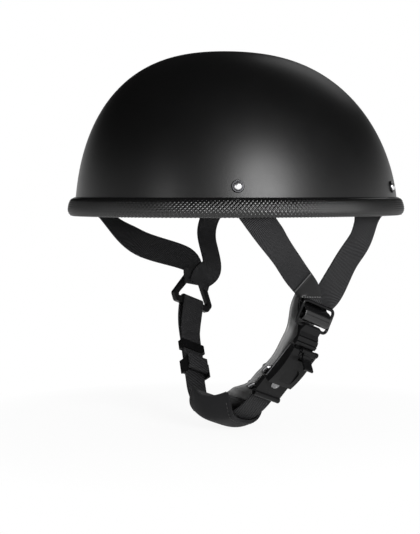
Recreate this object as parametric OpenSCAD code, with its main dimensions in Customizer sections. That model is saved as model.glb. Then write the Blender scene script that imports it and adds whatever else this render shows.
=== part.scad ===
// Half-shell riding helmet with a riveted Y-strap harness, a ratchet quick-release
// buckle and a sliding chin cup. Millimetres, +Z up, front towards -Y, the wearer's
// left towards +X, origin at the centre of the rim's bottom plane.

/* [Shell] */
// Length of the shell, front to back, along the top line of its edge trim
shell_len = 275; // [255:1:295]
// Width of the shell along the same line
shell_wid = 228; // [210:1:245]
// Height of the crown above the bottom of the edge trim
crown_h = 128.5; // [110:0.5:145]
// Wall of the shell
shell_wall = 3.2; // [2.4:0.1:4]
// How square the dome's shoulders are: 2 is an ellipse
dome_power = 2.52; // [2:0.02:3]
// How far the crown leans towards the front
crown_lean = 12.9; // [0:0.1:20]
// How far the dome's widest level lies below the bottom of the trim
widest_drop = 2.9; // [0:0.1:8]

/* [Edge trim] */
// Height of the rubber edge trim
trim_h = 14.5; // [10:0.5:18]
// How far the trim bulges outside the shell
trim_bulge = 4.8; // [3:0.1:6]
// How far the trim bulges inside the shell
trim_bulge_in = 2.8; // [2:0.1:4]
// Height of the trim's widest level
trim_belly = 5.2; // [4:0.1:7]
// Rubber under the shell's edge
trim_floor = 2; // [1.5:0.1:3]

/* [Liner and pads] */
// Thickness of the foam liner
liner_t = 8; // [6:0.5:12]
// Height of the liner's lower edge
liner_z = 16; // [15:0.5:20]
// Width of the liner's notch over each strap end
notch_w = 44; // [40:1:50]
// Height of the top of each notch
notch_top = 44; // [40:1:50]
// Thickness of the sweatband pads at their crown
band_t = 9; // [6:0.5:12]
// Height of the sweatband pads
band_h = 34; // [26:1:40]
// Radius of the crown pad
crown_pad_r = 44; // [30:1:55]
// Thickness of the crown pad at its middle
crown_pad_t = 11; // [6:0.5:14]

/* [Strap rivets] */
// Height of the rivets above the bottom of the trim
rivet_z = 22.5; // [21:0.5:25]
// Bearing of the front rivets, turned from the front
rivet_front = 53.7; // [48:0.1:58]
// Bearing of the rear rivets, turned from the front
rivet_rear = 125; // [120:0.5:130]
// Radius of the rivet's domed head
rivet_head_r = 3.1; // [2.6:0.1:3.6]
// Radius of the rivet's shank
rivet_shank_r = 2; // [1.5:0.1:2.3]
// Outer radius of the dished ring under the head
rivet_ring_r = 4.75; // [4.2:0.05:5.5]
// Outer radius of the backing washer inside the shell
washer_r = 6; // [5:0.1:8]

/* [Webbing] */
// Width of the harness webbing
web_w = 22; // [20:0.5:24]
// Thickness of the webbing
web_t = 1.6; // [1.2:0.1:1.8]

/* [Harness loop] */
// Backward tilt of the plane that the chin loop lies in, from vertical
loop_tilt = 20; // [10:1:30]
// Place of the loop plane's origin behind the centre of the rim
loop_y = 12.5; // [5:0.5:20]
// Depth of the loop plane's origin below the rim
loop_z = 75.5; // [65:0.5:85]
// Radius of the chin loop
chin_r = 47; // [43:1:52]
// Distance from the loop plane's origin down to the middle of the chin loop
chin_drop = 46; // [42:1:50]
// Angle from the bottom of the loop to where it runs straight
chin_end = 57; // [52:1:62]

/* [Ring and yoke] */
// Inner width of the wire ring
ring_w = 31; // [27:0.5:33]
// How far the ring stands forward of the webbing's middle
ring_shift = 2; // [0:0.5:3]
// Height of the wire ring between its outer bars
ring_h = 19; // [17:0.5:24]
// Radius of the ring's wire
ring_wire = 1.25; // [1:0.05:1.6]
// Lean of the ring from level, seen along the loop
ring_lean = 80; // [70:1:88]
// Distance of the ring's middle from the centre plane
ring_x = 77.5; // [72:0.5:84]
// Depth of the ring's middle below the loop plane's origin
ring_drop = 2.5; // [-4:0.5:8]
// Width of the triangular yoke over its bottom corners
yoke_w = 45; // [42:0.5:50]
// Height of the yoke
yoke_h = 33; // [30:0.5:38]
// Thickness of the yoke
yoke_t = 4; // [3:0.1:5]
// Height of the yoke's bottom bar
yoke_bar = 5.5; // [4.5:0.1:7]

/* [Buckle] */
// Width of the buckle housing
house_w = 25; // [24:0.5:28]
// Length of the buckle housing
house_len = 34; // [32:0.5:38]
// Height of the housing's bowed face above the webbing's middle
house_face = 9.5; // [9.2:0.1:11]
// Radius of the housing's bowed face
face_curve = 72; // [65:1:120]
// Start of the housing along the straight run of webbing
house_y = 19.8; // [18:0.2:22]
// Height of the thumb pad's middle above the start of the housing
pad_up = 11; // [10:0.5:12]
// Depth of the thumb pad below the top of the face
pad_deep = 1.3; // [1:0.1:1.6]
// Thickness of the steel base plate
base_t = 1; // [0.8:0.1:1.2]
// Width of the ratchet tongue inside the housing
tongue_w = 18; // [16:0.5:19]
// Thickness of the tongue's plate
tongue_t = 2; // [1.6:0.1:2.2]
// Height of the ratchet teeth
tooth_h = 0.8; // [0.5:0.1:1]
// Spacing of the ratchet teeth
tooth_pitch = 3; // [2:0.5:4]
// Number of ratchet teeth
tooth_n = 6; // [3:1:7]
// Width of the tongue's head outside the housing
head_w = 22; // [19:0.5:24]
// How far the head stands forward of the webbing's middle
head_shift = 2; // [0:0.5:2.5]
// Half of the width of the head's top
head_top = 9; // [7:0.5:10]
// Width of the release lever at its roll
lever_w = 12.4; // [10:0.2:13]
// Width of the lever's paddle
paddle_w = 9.4; // [7:0.2:10]
// Length of the lever from its pin to its lip
lever_len = 16; // [14:0.5:19]
// Radius of the lever's pin
pin_r = 1; // [0.8:0.05:1.1]
// Running clearance between the lever and its pin
pin_gap = 0.05; // [0.03:0.01:0.1]
// Place of the anchor rivet along the straight run of webbing
anchor_y = 17.6; // [16:0.2:18]
// Lower end of the sleeve along the run
sleeve_end = 6.1; // [4:0.5:9]
// Place of the slider along the right run
slider_y = 17; // [14:1:22]
// Place of the keeper along the right run
keeper_y = 38; // [36:1:42]

/* [Flap and snaps] */
// Width of the comfort flap behind the buckle
flap_w = 28; // [25:0.5:30]
// How far the flap stands forward of the webbing's middle
flap_shift = 3; // [2:0.5:4]
// Thickness of the flap
flap_t = 1.8; // [1.4:0.1:2.4]
// Radius of the snap caps
snap_r = 4; // [3.4:0.1:4.6]

/* [Chin cup] */
// Width of the chin cup, front to back
cup_w = 43; // [38:1:48]
// Half of the angle that the cup covers round the loop
cup_half = 38; // [32:0.5:40]
// Reach of the cover in the middle of its mouth, as a share of its edges' reach
cup_mid = 0.71; // [0.6:0.01:1]
// Wall of the cup's outer skin
cup_wall = 2; // [1.5:0.1:2.6]
// Depth of the pocket from the webbing up to the lining
cup_deep = 9; // [7:0.5:12]
// Thickness of the padded lining that bears on the chin
lining_t = 3; // [2:0.1:4]

/* [Hidden] */

$fn = 32;
TINY = 0.01;
fit_gap = 0.12;      // between nested pieces of one body
soft_gap = 0.3;      // between soft pieces and their neighbours
dome_steps = 60;     // azimuth stations shared by the shell, trim, liner and pads
dome_rows = 11;      // rows from the widest level to the crown

// Vectors and smooth paths
function unit(v) = v / norm(v);
function mix(a, b, t) = a + (b - a) * t;
// Catmull-Rom point between p[i] and p[i + 1]
function cr_point(p, i, t) =
    let (n = len(p) - 1, a = p[max(i - 1, 0)], b = p[i], c = p[i + 1], d = p[min(i + 2, n)])
    0.5 * (2 * b + (c - a) * t + (2 * a - 5 * b + 4 * c - d) * t * t
        + (3 * b - a - 3 * c + d) * t * t * t);
// A smooth path of n points for each stretch of the control points p
function smooth(p, n) = [for (i = [0 : len(p) - 2]) for (k = [0 : n - 1]) cr_point(p, i, k / n),
    p[len(p) - 1]];
function arc(c, r, a0, a1, n) =
    [for (k = [0 : n]) let (a = mix(a0, a1, k / n)) c + r * [cos(a), sin(a)]];
// A closed outline with corner i rounded to radius r[i], seen as points
function round_corner(a, b, c, r, n) =
    let (u = unit(a - b), v = unit(c - b), half = acos(u * v) / 2,
        centre = b + unit(u + v) * r / sin(half),
        p = b + u * r / tan(half), q = b + v * r / tan(half),
        a0 = atan2(p[1] - centre[1], p[0] - centre[0]),
        turn = atan2(q[1] - centre[1], q[0] - centre[0]) - a0,
        step = turn > 180 ? turn - 360 : turn < -180 ? turn + 360 : turn)
    [for (k = [0 : n]) centre + r * [cos(a0 + step * k / n), sin(a0 + step * k / n)]];
function rounded(p, r, n = 5) = [for (i = [0 : len(p) - 1])
    each round_corner(p[(i + len(p) - 1) % len(p)], p[i], p[(i + 1) % len(p)], r[i], n)];
// A band of thickness t whose middle follows the flat path p
function path_dir(p, i) = unit(p[min(i + 1, len(p) - 1)] - p[max(i - 1, 0)]);
function side_of(p, i, d) = let (u = path_dir(p, i)) p[i] + d * [u[1], -u[0]];
function band(p, t) = concat([for (i = [0 : len(p) - 1]) side_of(p, i, t / 2)],
    [for (i = [len(p) - 1 : -1 : 0]) side_of(p, i, -t / 2)]);

// Dome: phi turns from the front towards the wearer's left, level runs from 0 at the
// widest height to 90 at the crown, and off is a distance inwards
dome_h = crown_h + widest_drop;
rim_rise = (trim_h + widest_drop) / dome_h;
function dome_level(z) = asin((z + widest_drop) / dome_h);
function dome_shift(s) = crown_lean * pow(max(0, s - rim_rise), 1.5);
function dome_skin(phi, level) =
    let (s = sin(level), w = pow(cos(level) * cos(level) / (1 - rim_rise * rim_rise), 1 / dome_power))
    [shell_wid / 2 * sin(phi) * w, -shell_len / 2 * cos(phi) * w - dome_shift(s),
        s * dome_h - widest_drop];
function dome_normal(phi, level) =
    unit(cross(dome_skin(phi + 1, level) - dome_skin(phi - 1, level),
        dome_skin(phi, level + 0.5) - dome_skin(phi, level - 0.5)));
function dome_point(phi, level, off) = dome_skin(phi, level) - off * dome_normal(phi, level);
function crown_point(off) = [0, -dome_shift(1), crown_h - off];
function wall_point(phi, z, off) = dome_point(phi, dome_level(z), off);
// Outward horizontal normal of the rim
function rim_normal(phi) = unit([sin(phi) / shell_wid, -cos(phi) / shell_len, 0]);
function station(i) = 360 * i / dome_steps;

// A closed tube of rings: every ring has the same count and the first joins the last
module ring_loop(rings) {
    m = len(rings[0]);
    n = len(rings);
    polyhedron([for (ring = rings) each ring],
        [for (i = [0 : n - 1]) for (k = [0 : m - 1]) let (a = i * m + k, b = i * m + (k + 1) % m,
            c = (i + 1) % n * m + (k + 1) % m, d = (i + 1) % n * m + k) each [[a, b, c], [a, c, d]]]);
}

// An open tube of rings with flat ends
module ring_tube(rings) {
    m = len(rings[0]);
    n = len(rings);
    polyhedron([for (ring = rings) each ring],
        concat([for (i = [0 : n - 2]) for (k = [0 : m - 1]) let (a = i * m + k, b = i * m + (k + 1) % m,
            c = (i + 1) * m + (k + 1) % m, d = (i + 1) * m + k) each [[a, b, c], [a, c, d]]],
            [[for (k = [m - 1 : -1 : 0]) k]], [[for (k = [0 : m - 1]) (n - 1) * m + k]]));
}

// A domed wall between two depths, open below
module dome_wall(z, off_out, off_in) {
    start = dome_level(z);
    step = 90 / dome_rows;
    levels = concat([start], [for (k = [1 : dome_rows - 1]) if (k * step > start + 1) k * step]);
    m = len(levels);
    n = dome_steps;
    outer = [for (l = levels) for (i = [0 : n - 1]) dome_point(station(i), l, off_out)];
    inner = [for (l = levels) for (i = [0 : n - 1]) dome_point(station(i), l, off_in)];
    tops = [crown_point(off_out), crown_point(off_in)];
    top = 2 * m * n;
    polyhedron(concat(outer, inner, tops), concat(
        [for (j = [0 : m - 2]) for (i = [0 : n - 1]) let (a = j * n + i, b = j * n + (i + 1) % n,
            c = b + n, d = a + n) each [[a, c, b], [a, d, c]]],
        [for (j = [0 : m - 2]) for (i = [0 : n - 1]) let (a = (m + j) * n + i, b = (m + j) * n + (i + 1) % n,
            c = b + n, d = a + n) each [[a, b, c], [a, c, d]]],
        [for (i = [0 : n - 1]) [(m - 1) * n + i, top, (m - 1) * n + (i + 1) % n]],
        [for (i = [0 : n - 1]) [(2 * m - 1) * n + i, (2 * m - 1) * n + (i + 1) % n, top + 1]],
        [for (i = [0 : n - 1]) each [[i, (i + 1) % n, m * n + (i + 1) % n],
            [i, m * n + (i + 1) % n, m * n + i]]]));
}

// Webbing that follows control rows [place, outward face, cross line, share of its width].
// The cross line is given where a slanted strap bends over an edge or ends along a bar.
module ribbon(rows, w = web_w, t = web_t, n = 5, widest = 1.3) {
    p = smooth([for (r = rows) r[0]], n);
    f = smooth([for (r = rows) r[1]], n);
    line = smooth([for (r = rows) len(r) > 2 ? r[2] : [0, 0, 0]], n);
    share = smooth([for (r = rows) len(r) > 3 ? r[3] : 1], n);
    m = len(p) - 1;
    ring_tube([for (i = [0 : m]) let (
        along = unit(p[min(i + 1, m)] - p[max(i - 1, 0)]),
        square = unit(cross(f[i], along)),
        out = cross(along, square),
        slant = unit(square * max(0, 1 - norm(line[i])) + line[i]),
        across = slant * share[i] * w / 2 * min(widest, 1 / norm(cross(slant, along))))
        [p[i] + across + out * t / 2, p[i] + across - out * t / 2,
            p[i] - across - out * t / 2, p[i] - across + out * t / 2]]);
}

// Frames of the harness. On the loop plane x runs to the wearer's left, y up the
// plane and z towards the front.
module on_loop() translate([0, loop_y, -loop_z]) rotate([90 - loop_tilt, 0, 0]) children();
function loop_point(x, y, z) = [x, loop_y + y * sin(loop_tilt) - z * cos(loop_tilt),
    -loop_z + y * cos(loop_tilt) + z * sin(loop_tilt)];
function loop_dir(x, y, z) = loop_point(x, y, z) - loop_point(0, 0, 0);
chin_c = [0, -chin_drop];
run_start = chin_c + chin_r * [sin(chin_end), -cos(chin_end)];
// Along a straight run x points away from the head, y up the webbing, z to the front
module on_run() on_loop() translate([run_start[0], run_start[1], 0]) rotate([0, 0, chin_end - 90])
    children();
module on_right_run() mirror([1, 0, 0]) on_run() children();
function from_run(x, y) = run_start + y * [cos(chin_end), sin(chin_end)]
    + x * [sin(chin_end), -cos(chin_end)];
// A slab of the loop plane's outline, centred across the webbing
module across(w, shift = 0) translate([0, 0, shift - w / 2]) linear_extrude(w) children();

// Rivets
module at_rivet(phi) {
    p = wall_point(phi, rivet_z, 0);
    v = dome_normal(phi, dome_level(rivet_z));
    translate(p) rotate([0, acos(v[2]), atan2(v[1], v[0])]) children();
}
rivet_bearings = [rivet_front, rivet_rear, -rivet_rear, -rivet_front];
module at_rivets() for (b = rivet_bearings) at_rivet(b) children();
rivet_gap = 0.05;                                   // round the shank
web_stand = 1.25;                                   // webbing off the curved wall
web_off = shell_wall + web_stand + web_t / 2;       // middle of the webbing
washer_t = 1;
washer_in = web_off + web_t / 2 + soft_gap + washer_t;
tail_t = 0.9;
tail_r = 3.2;
ring_t = 1.2;                                       // height of the dished ring
rivet_head_h = 1.9;                                 // height of the domed head
module rivet_bore(depth) at_rivets() translate([0, 0, -depth])
    cylinder(h = depth + 4, r = rivet_shank_r + rivet_gap, $fn = 24);

// Shell, trim and liner
module shell() color([0.09, 0.09, 0.095]) difference() {
    dome_wall(trim_floor, 0, shell_wall);
    rivet_bore(shell_wall + 3);
}

// The trim's section: x outwards from the shell's outer face, y up
trim_section = concat(
    [for (k = [0 : 4]) let (t = -90 + 18 * k) [trim_bulge * cos(t), trim_belly * (1 + sin(t))]],
    [for (k = [0 : 6]) let (t = 15 * k) [max(trim_bulge * cos(t), fit_gap),
        trim_belly + (trim_h - trim_belly) * sin(t)]],
    [[fit_gap, trim_floor - fit_gap], [-shell_wall - fit_gap, trim_floor - fit_gap]],
    [for (k = [0 : 3]) let (t = 90 - 22.5 * k) [-shell_wall - max(trim_bulge_in * cos(t), fit_gap),
        trim_belly + (trim_h - trim_belly) * sin(t)]],
    [for (k = [0 : 4]) let (t = -22.5 * k) [-shell_wall - trim_bulge_in * cos(t),
        trim_belly * (1 + sin(t))]]);
module edge_trim() color([0.05, 0.05, 0.05])
    ring_loop([for (i = [0 : dome_steps - 1]) let (phi = station(i))
        [for (q = trim_section) wall_point(phi, q[1], 0) + q[0] * rim_normal(phi)]]);

liner_off = shell_wall + 0.4;
liner_in = liner_off + liner_t;
pad_gap = 0.6;
pad_off = liner_in + pad_gap;
module foam_liner() color([0.16, 0.16, 0.17]) difference() {
    dome_wall(liner_z, liner_off, liner_in);
    for (b = rivet_bearings)
        translate(wall_point(b, 0, liner_t))
            rotate([0, 0, atan2(wall_point(b, 0, 0)[1], wall_point(b, 0, 0)[0])])
                translate([-40, -notch_w / 2, 0]) cube([60, notch_w, notch_top]);
}

// A crowned pad on the liner between two bearings and two heights, drawn in at its sides
pad_edge = 2;        // thickness of a pad at its seam
module dome_pad(phi_0, phi_1, z_0, z_1, thick) {
    nu = round(abs(phi_1 - phi_0) / (360 / dome_steps));
    nv = 8;
    function fullness(u, v) = sqrt(max(0, (1 - pow(abs(2 * u - 1), 6)) * (1 - pow(abs(2 * v - 1), 3))));
    function height(u, v) = let (draw = 0.06 * (z_1 - z_0) * (1 - pow(2 * u - 1, 2)))
        mix(z_0 + draw, z_1 - draw, v);
    back = [for (i = [0 : nu]) for (j = [0 : nv])
        wall_point(mix(phi_0, phi_1, i / nu), height(i / nu, j / nv), pad_off)];
    front = [for (i = [0 : nu]) for (j = [0 : nv]) wall_point(mix(phi_0, phi_1, i / nu),
        height(i / nu, j / nv), pad_off + pad_edge + (thick - pad_edge) * fullness(i / nu, j / nv))];
    m = (nu + 1) * (nv + 1);
    rim = concat([for (i = [0 : nu]) i * (nv + 1)], [for (j = [1 : nv]) nu * (nv + 1) + j],
        [for (i = [nu - 1 : -1 : 0]) i * (nv + 1) + nv], [for (j = [nv - 1 : -1 : 1]) j]);
    polyhedron(concat(back, front), concat(
        [for (i = [0 : nu - 1]) for (j = [0 : nv - 1]) let (a = i * (nv + 1) + j, b = a + nv + 1)
            each [[a, a + 1, b + 1], [a, b + 1, b]]],
        [for (i = [0 : nu - 1]) for (j = [0 : nv - 1]) let (a = m + i * (nv + 1) + j, b = a + nv + 1)
            each [[a, b + 1, a + 1], [a, b, b + 1]]],
        [for (k = [0 : len(rim) - 1]) let (a = rim[k], b = rim[(k + 1) % len(rim)])
            each [[a, b, m + b], [a, m + b, m + a]]]));
}
band_z = 9;          // height of the bottom of the sweatband
pad_color = [0.1, 0.1, 0.11];
module front_pad() color(pad_color) dome_pad(-42, 42, band_z, band_z + band_h, band_t);
module left_pad() color(pad_color) dome_pad(48, 132, band_z, band_z + band_h, band_t);
module rear_pad() color(pad_color) dome_pad(138, 222, band_z, band_z + band_h, band_t);
module right_pad() color(pad_color) dome_pad(228, 312, band_z, band_z + band_h, band_t);

// A round crowned pad under the top of the liner
function level_at(r) = acos(pow(r / (shell_wid / 2), dome_power / 2) * sqrt(1 - rim_rise * rim_rise));
module crown_pad() color(pad_color) {
    n = dome_steps / 2;
    m = 6;
    thick = [for (k = [0 : m]) pad_edge + (crown_pad_t - pad_edge) * sqrt(1 - pow(k / m, 3))];
    back = [for (k = [1 : m]) for (i = [0 : n - 1])
        dome_point(360 * i / n, level_at(crown_pad_r * k / m), pad_off)];
    front = [for (k = [1 : m]) for (i = [0 : n - 1])
        dome_point(360 * i / n, level_at(crown_pad_r * k / m), pad_off + thick[k])];
    mid = 2 * m * n;
    polyhedron(concat(back, front, [crown_point(pad_off), crown_point(pad_off + crown_pad_t)]), concat(
        [for (k = [0 : m - 2]) for (i = [0 : n - 1]) let (a = k * n + i, b = k * n + (i + 1) % n)
            each [[a, b, b + n], [a, b + n, a + n]]],
        [for (k = [0 : m - 2]) for (i = [0 : n - 1]) let (a = (m + k) * n + i, b = (m + k) * n + (i + 1) % n)
            each [[a, b + n, b], [a, a + n, b + n]]],
        [for (i = [0 : n - 1]) [mid, (i + 1) % n, i]],
        [for (i = [0 : n - 1]) [mid + 1, m * n + i, m * n + (i + 1) % n]],
        [for (i = [0 : n - 1]) let (a = (m - 1) * n + i, b = (m - 1) * n + (i + 1) % n)
            each [[a, b, b + m * n], [a, b + m * n, a + m * n]]]));
}

// Rivets that hold the straps to the shell
rivet_tail = washer_in + tail_t + fit_gap;
module strap_rivets() color([0.75, 0.75, 0.77]) at_rivets() {
    translate([0, 0, -rivet_tail]) cylinder(h = rivet_tail + ring_t, r = rivet_shank_r, $fn = 24);
    translate([0, 0, -rivet_tail]) cylinder(h = tail_t, r = tail_r, $fn = 24);
    // domed head
    dome = [for (k = [1 : 5]) [rivet_head_r * sin(18 * k), ring_t - 0.35 + rivet_head_h * cos(18 * k)]];
    rotate_extrude($fn = 24) polygon(concat([[0, ring_t - 0.35], [0, ring_t - 0.35 + rivet_head_h]], dome));
}
module rivet_rings() color([0.8, 0.8, 0.82]) at_rivets() rotate_extrude($fn = 24)
    polygon([[rivet_shank_r + rivet_gap, 0], [rivet_ring_r, 0], [rivet_ring_r, 0.35],
        [rivet_ring_r - 0.45, ring_t], [rivet_ring_r - 1.1, ring_t], [rivet_head_r - 0.2, 0.6],
        [rivet_shank_r + rivet_gap, 0.6]]);
module rivet_washers() color([0.55, 0.55, 0.57]) at_rivets() translate([0, 0, -washer_in]) difference() {
    cylinder(h = washer_t, r = washer_r, $fn = 24);
    translate([0, 0, -1]) cylinder(h = washer_t + 2, r = rivet_shank_r + rivet_gap, $fn = 24);
}

// Ring: x away from the head, y up, z to the front
ring_c = [ring_x, -ring_drop];
function from_ring(x, y) = ring_c + y * [cos(ring_lean), sin(ring_lean)]
    + x * [sin(ring_lean), -cos(ring_lean)];
module on_ring() on_loop() translate([ring_c[0], ring_c[1], ring_shift]) rotate([0, 0, ring_lean - 90])
    children();
ring_mid = -1.8;     // height of the ring's middle bar
ring_corner = 3.5;
ring_half = ring_w / 2 + ring_wire;
module ring_corner_at(y, z, turn) translate([0, y, z]) rotate([0, -90, 0]) rotate([0, 0, turn])
    rotate_extrude(angle = 90, $fn = 24) translate([ring_corner, 0]) circle(r = ring_wire, $fn = 16);
module slide_ring() color([0.06, 0.06, 0.06]) on_ring() {
    side = ring_h / 2 - ring_corner;
    end = ring_half - ring_corner;
    for (s = [-1, 1]) {
        translate([0, s * ring_h / 2, -end]) cylinder(h = 2 * end, r = ring_wire, $fn = 16);
        translate([0, -side, s * ring_half]) rotate([-90, 0, 0])
            cylinder(h = 2 * side, r = ring_wire, $fn = 16);
    }
    ring_corner_at(side, end, 0);
    ring_corner_at(side, -end, 90);
    ring_corner_at(-side, -end, 180);
    ring_corner_at(-side, end, 270);
    translate([0, ring_mid, -ring_half]) cylinder(h = 2 * ring_half, r = ring_wire, $fn = 16);
}

// Layers of webbing that pass behind the ring's top bar, counted inwards
layer_gap = 0.15;
function layer(k) = -(ring_wire + 0.25 + web_t / 2) - k * (web_t + layer_gap);
function ring_place(x, y, z) = let (p = from_ring(x, y)) loop_point(p[0], p[1], z);
ring_face = loop_dir(sin(ring_lean), -cos(ring_lean), 0);
bar_line = loop_dir(0, 0, -1);

// Webbing loop round the ring's middle bar, sewn behind the two straps
loop_slack = 1.1;    // how loose the loop lies round the bar
loop_wrap = ring_wire + soft_gap + 0.15 + web_t / 2 + loop_slack;
loop_top = ring_h / 2 + 2.2;                          // sewn ends of the webbing loop
leg_1 = layer(2) - 1;
leg_2 = leg_1 - web_t - layer_gap;
loop_path = smooth(concat([[leg_1, loop_top], [leg_1, ring_h / 2 + 0.2], [layer(1) - 0.5, ring_h / 2 - 2.8],
    [-0.2, ring_h / 2 - 4.4], [2.7, ring_mid + 4.1]], arc([0, ring_mid], loop_wrap, 30, -155, 8),
    [[leg_1, ring_mid + 4.5], [leg_2, ring_h / 2 - 1], [leg_2, ring_h / 2 + 1], [leg_2, loop_top]]), 2);
module left_strap_loop() color([0.1, 0.1, 0.1]) on_ring() across(ring_w - 2.5)
    polygon(band(loop_path, web_t));

// Upper straps of the left side: rows of [place, outward face]
trim_off = shell_wall + trim_bulge_in + web_t / 2 + 1.5;
web_black = [0.1, 0.1, 0.1];
function level_line(face) = unit(cross(face, [0, 0, -1]));
function wall_row(phi, z, off) = let (v = dome_normal(phi, dome_level(z)))
    [wall_point(phi, z, off), v, level_line(v)];
strap_end = ring_h / 2 + 0.2;
front_top = [wall_row(rivet_front - 2.6, rivet_z + 11, web_off), wall_row(rivet_front, rivet_z, web_off),
    wall_row(rivet_front + 1.5, rivet_z - 5.5, web_off + 0.1), wall_row(rivet_front + 3, 12, trim_off - 1),
    wall_row(rivet_front + 5, 7, trim_off + 0.3), wall_row(rivet_front + 7.9, -2, trim_off + 0.1)];
rear_top = [wall_row(rivet_rear + 2.6, rivet_z + 11, web_off), wall_row(rivet_rear, rivet_z, web_off),
    wall_row(rivet_rear - 2.4, rivet_z - 5.5, web_off + 0.1), wall_row(rivet_rear - 4.8, 12, trim_off - 1),
    [wall_point(rivet_rear - 7.2, 7, trim_off + 2.6), [1, 0.26, 0], level_line([1, 0.26, 0])],
    [wall_point(rivet_rear - 12, -2, trim_off + 4.2), [1, -0.08, 0], level_line([1, -0.08, 0])]];
left_front_route = concat(front_top, [[[86, -34.8, -24.4], [0.95, 0.06, -0.28], [0, 0, 0], 0.98],
    [[79.1, -12.6, -42.7], [0.9, -0.08, -0.42], [0, 0, 0], 0.93],
    [[77.4, 2, -56.2], [0.9, -0.12, -0.4], [0, 0, 0], 0.88],
    [ring_place(layer(0), strap_end, 10), ring_face, bar_line, 0.97]]);
left_rear_route = concat(rear_top, [[[92.4, 43.4, -18.6], [1, -0.12, -0.08]],
    [[85.8, 34.3, -36], [1, -0.16, -0.16], [0, 0, 0], 1.04],
    [ring_place(layer(1) - 1.5, strap_end + 11, -7.8), [0.93, -0.26, -0.24], [0, 0, 0], 1.12],
    [ring_place(layer(1), strap_end, -1.5), ring_face, bar_line]]);
module sewn_strap(route) color(web_black) difference() {
    ribbon(route);
    rivet_bore(web_off + 3);
}
module left_front_strap() sewn_strap(left_front_route);
module left_rear_strap() sewn_strap(left_rear_route);

// Right side: straight run, a climb to the yoke, and the yoke at its top
run_len = 53;        // straight webbing above the end of the chin loop
climb_r = 70;
climb_turn = 20;
climb_c = from_run(-climb_r, run_len);
climb_path = arc(climb_c, climb_r, chin_end - 90, chin_end - 90 + climb_turn, 5);
yoke_c = climb_path[len(climb_path) - 1];
yoke_lean = chin_end + climb_turn;
yoke_in = yoke_t / 2 + 0.15 + web_t / 2;             // middle of the yoke behind the webbing
function from_yoke(x, y) = yoke_c + y * [cos(yoke_lean), sin(yoke_lean)]
    + x * [sin(yoke_lean), -cos(yoke_lean)];
module on_yoke() mirror([1, 0, 0]) on_loop() translate([yoke_c[0], yoke_c[1], 0])
    rotate([0, 0, yoke_lean - 90]) children();
// An outline in [place across, height] drawn on the yoke's plane, from depth x0
module slab_on_yoke(x0, t) on_yoke() translate([x0, 0, 0]) rotate([0, 90, 0])
    linear_extrude(t) children();
yoke_shoulder = yoke_bar + 1;
yoke_top = 6.5;      // half the width of the yoke's top
yoke_rim = 5;        // width of its slanted bars
yoke_outline = rounded([[-yoke_w / 2 + 4, 0], [yoke_w / 2 - 4, 0], [yoke_w / 2, yoke_shoulder],
    [yoke_top, yoke_h], [-yoke_top, yoke_h], [-yoke_w / 2, yoke_shoulder]], [3, 3, 3, 2, 2, 3]);
yoke_window = rounded([[-yoke_w / 2 + yoke_rim + 1, yoke_bar], [yoke_w / 2 - yoke_rim - 1, yoke_bar],
    [yoke_w / 2 - yoke_rim - 1, yoke_bar + 2.2], [4, yoke_h - 7], [-4, yoke_h - 7],
    [-yoke_w / 2 + yoke_rim + 1, yoke_bar + 2.2]], [0.8, 0.8, 0.8, 2, 2, 0.8]);
module strap_yoke() color([0.07, 0.07, 0.07]) {
    slab_on_yoke(-yoke_in - yoke_t / 2, yoke_t) difference() {
        polygon(yoke_outline);
        polygon(yoke_window);
    }
    slab_on_yoke(-yoke_in + yoke_t / 2 - TINY, 0.8) translate([0, yoke_h - 3.6]) circle(r = 2.4, $fn = 24);
}
strap_back = yoke_in + yoke_t / 2 + 0.2 + web_t / 2;  // straps behind the yoke's bars
function yoke_place(x, y, z) = let (p = from_yoke(x, y), q = loop_point(p[0], p[1], z)) [-q[0], q[1], q[2]];
yoke_face = let (v = loop_dir(sin(yoke_lean), -cos(yoke_lean), 0)) [-v[0], v[1], v[2]];
function flip_x(v) = [-v[0], v[1], v[2]];
function flip(row) = [flip_x(row[0]), flip_x(row[1]), -flip_x(row[2])];
strap_back_2 = strap_back + web_t + layer_gap;
right_front_route = concat([for (r = front_top) flip(r)], [[[-88, -34, -24], [-0.98, 0.05, -0.1]],
    [yoke_place(-strap_back + 1.2, yoke_h + 6, 12), yoke_face],
    [yoke_place(-strap_back, yoke_h - 6, 4), yoke_face],
    [yoke_place(-strap_back, yoke_h - 14, 2), yoke_face]]);
right_rear_route = concat([for (r = rear_top) flip(r)], [[[-91, 42, -19], [-1, -0.03, -0.05]],
    [yoke_place(-strap_back_2 - 2.5, yoke_h + 7, -12), yoke_face],
    [yoke_place(-strap_back_2 - 0.3, yoke_h - 6, -4), yoke_face],
    [yoke_place(-strap_back_2, yoke_h - 14, -2), yoke_face]]);
module right_front_strap() sewn_strap(right_front_route);
module right_rear_strap() sewn_strap(right_rear_route);

// Chin strap: from under the buckle, round the chin, up to the yoke's bottom bar, back
// down on its inner side and round the slider's middle bar
function flip_flat(p) = [-p[0], p[1]];
slider_bar = 1.1;
slider_x = -4.05;    // the slider's middle bar, inside the webbing
inner_x = -1.9;      // the returning layer
wrap_y = yoke_bar - 0.5;
chin_path = concat([from_run(0, anchor_y + 4)], arc(chin_c, chin_r, chin_end - 90, -chin_end - 90, 24),
    [for (p = climb_path) flip_flat(p)],
    [for (p = arc([-yoke_in, wrap_y], yoke_in, 0, 180, 8)) flip_flat(from_yoke(p[0], p[1]))],
    [for (p = smooth([from_yoke(-2 * yoke_in, -3), from_run(inner_x - 1.6, run_len + 5),
        from_run(inner_x, run_len - 4), from_run(inner_x, slider_y + 7)], 3)) flip_flat(p)],
    [for (p = arc([slider_x, slider_y], inner_x - slider_x, 0, -180, 8)) flip_flat(from_run(p[0], p[1]))],
    [flip_flat(from_run(2 * slider_x - inner_x, slider_y + 10))]);
module chin_strap() color(web_black) difference() {
    on_loop() across(web_w) polygon(band(chin_path, web_t));
    anchor_bore();
}

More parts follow.
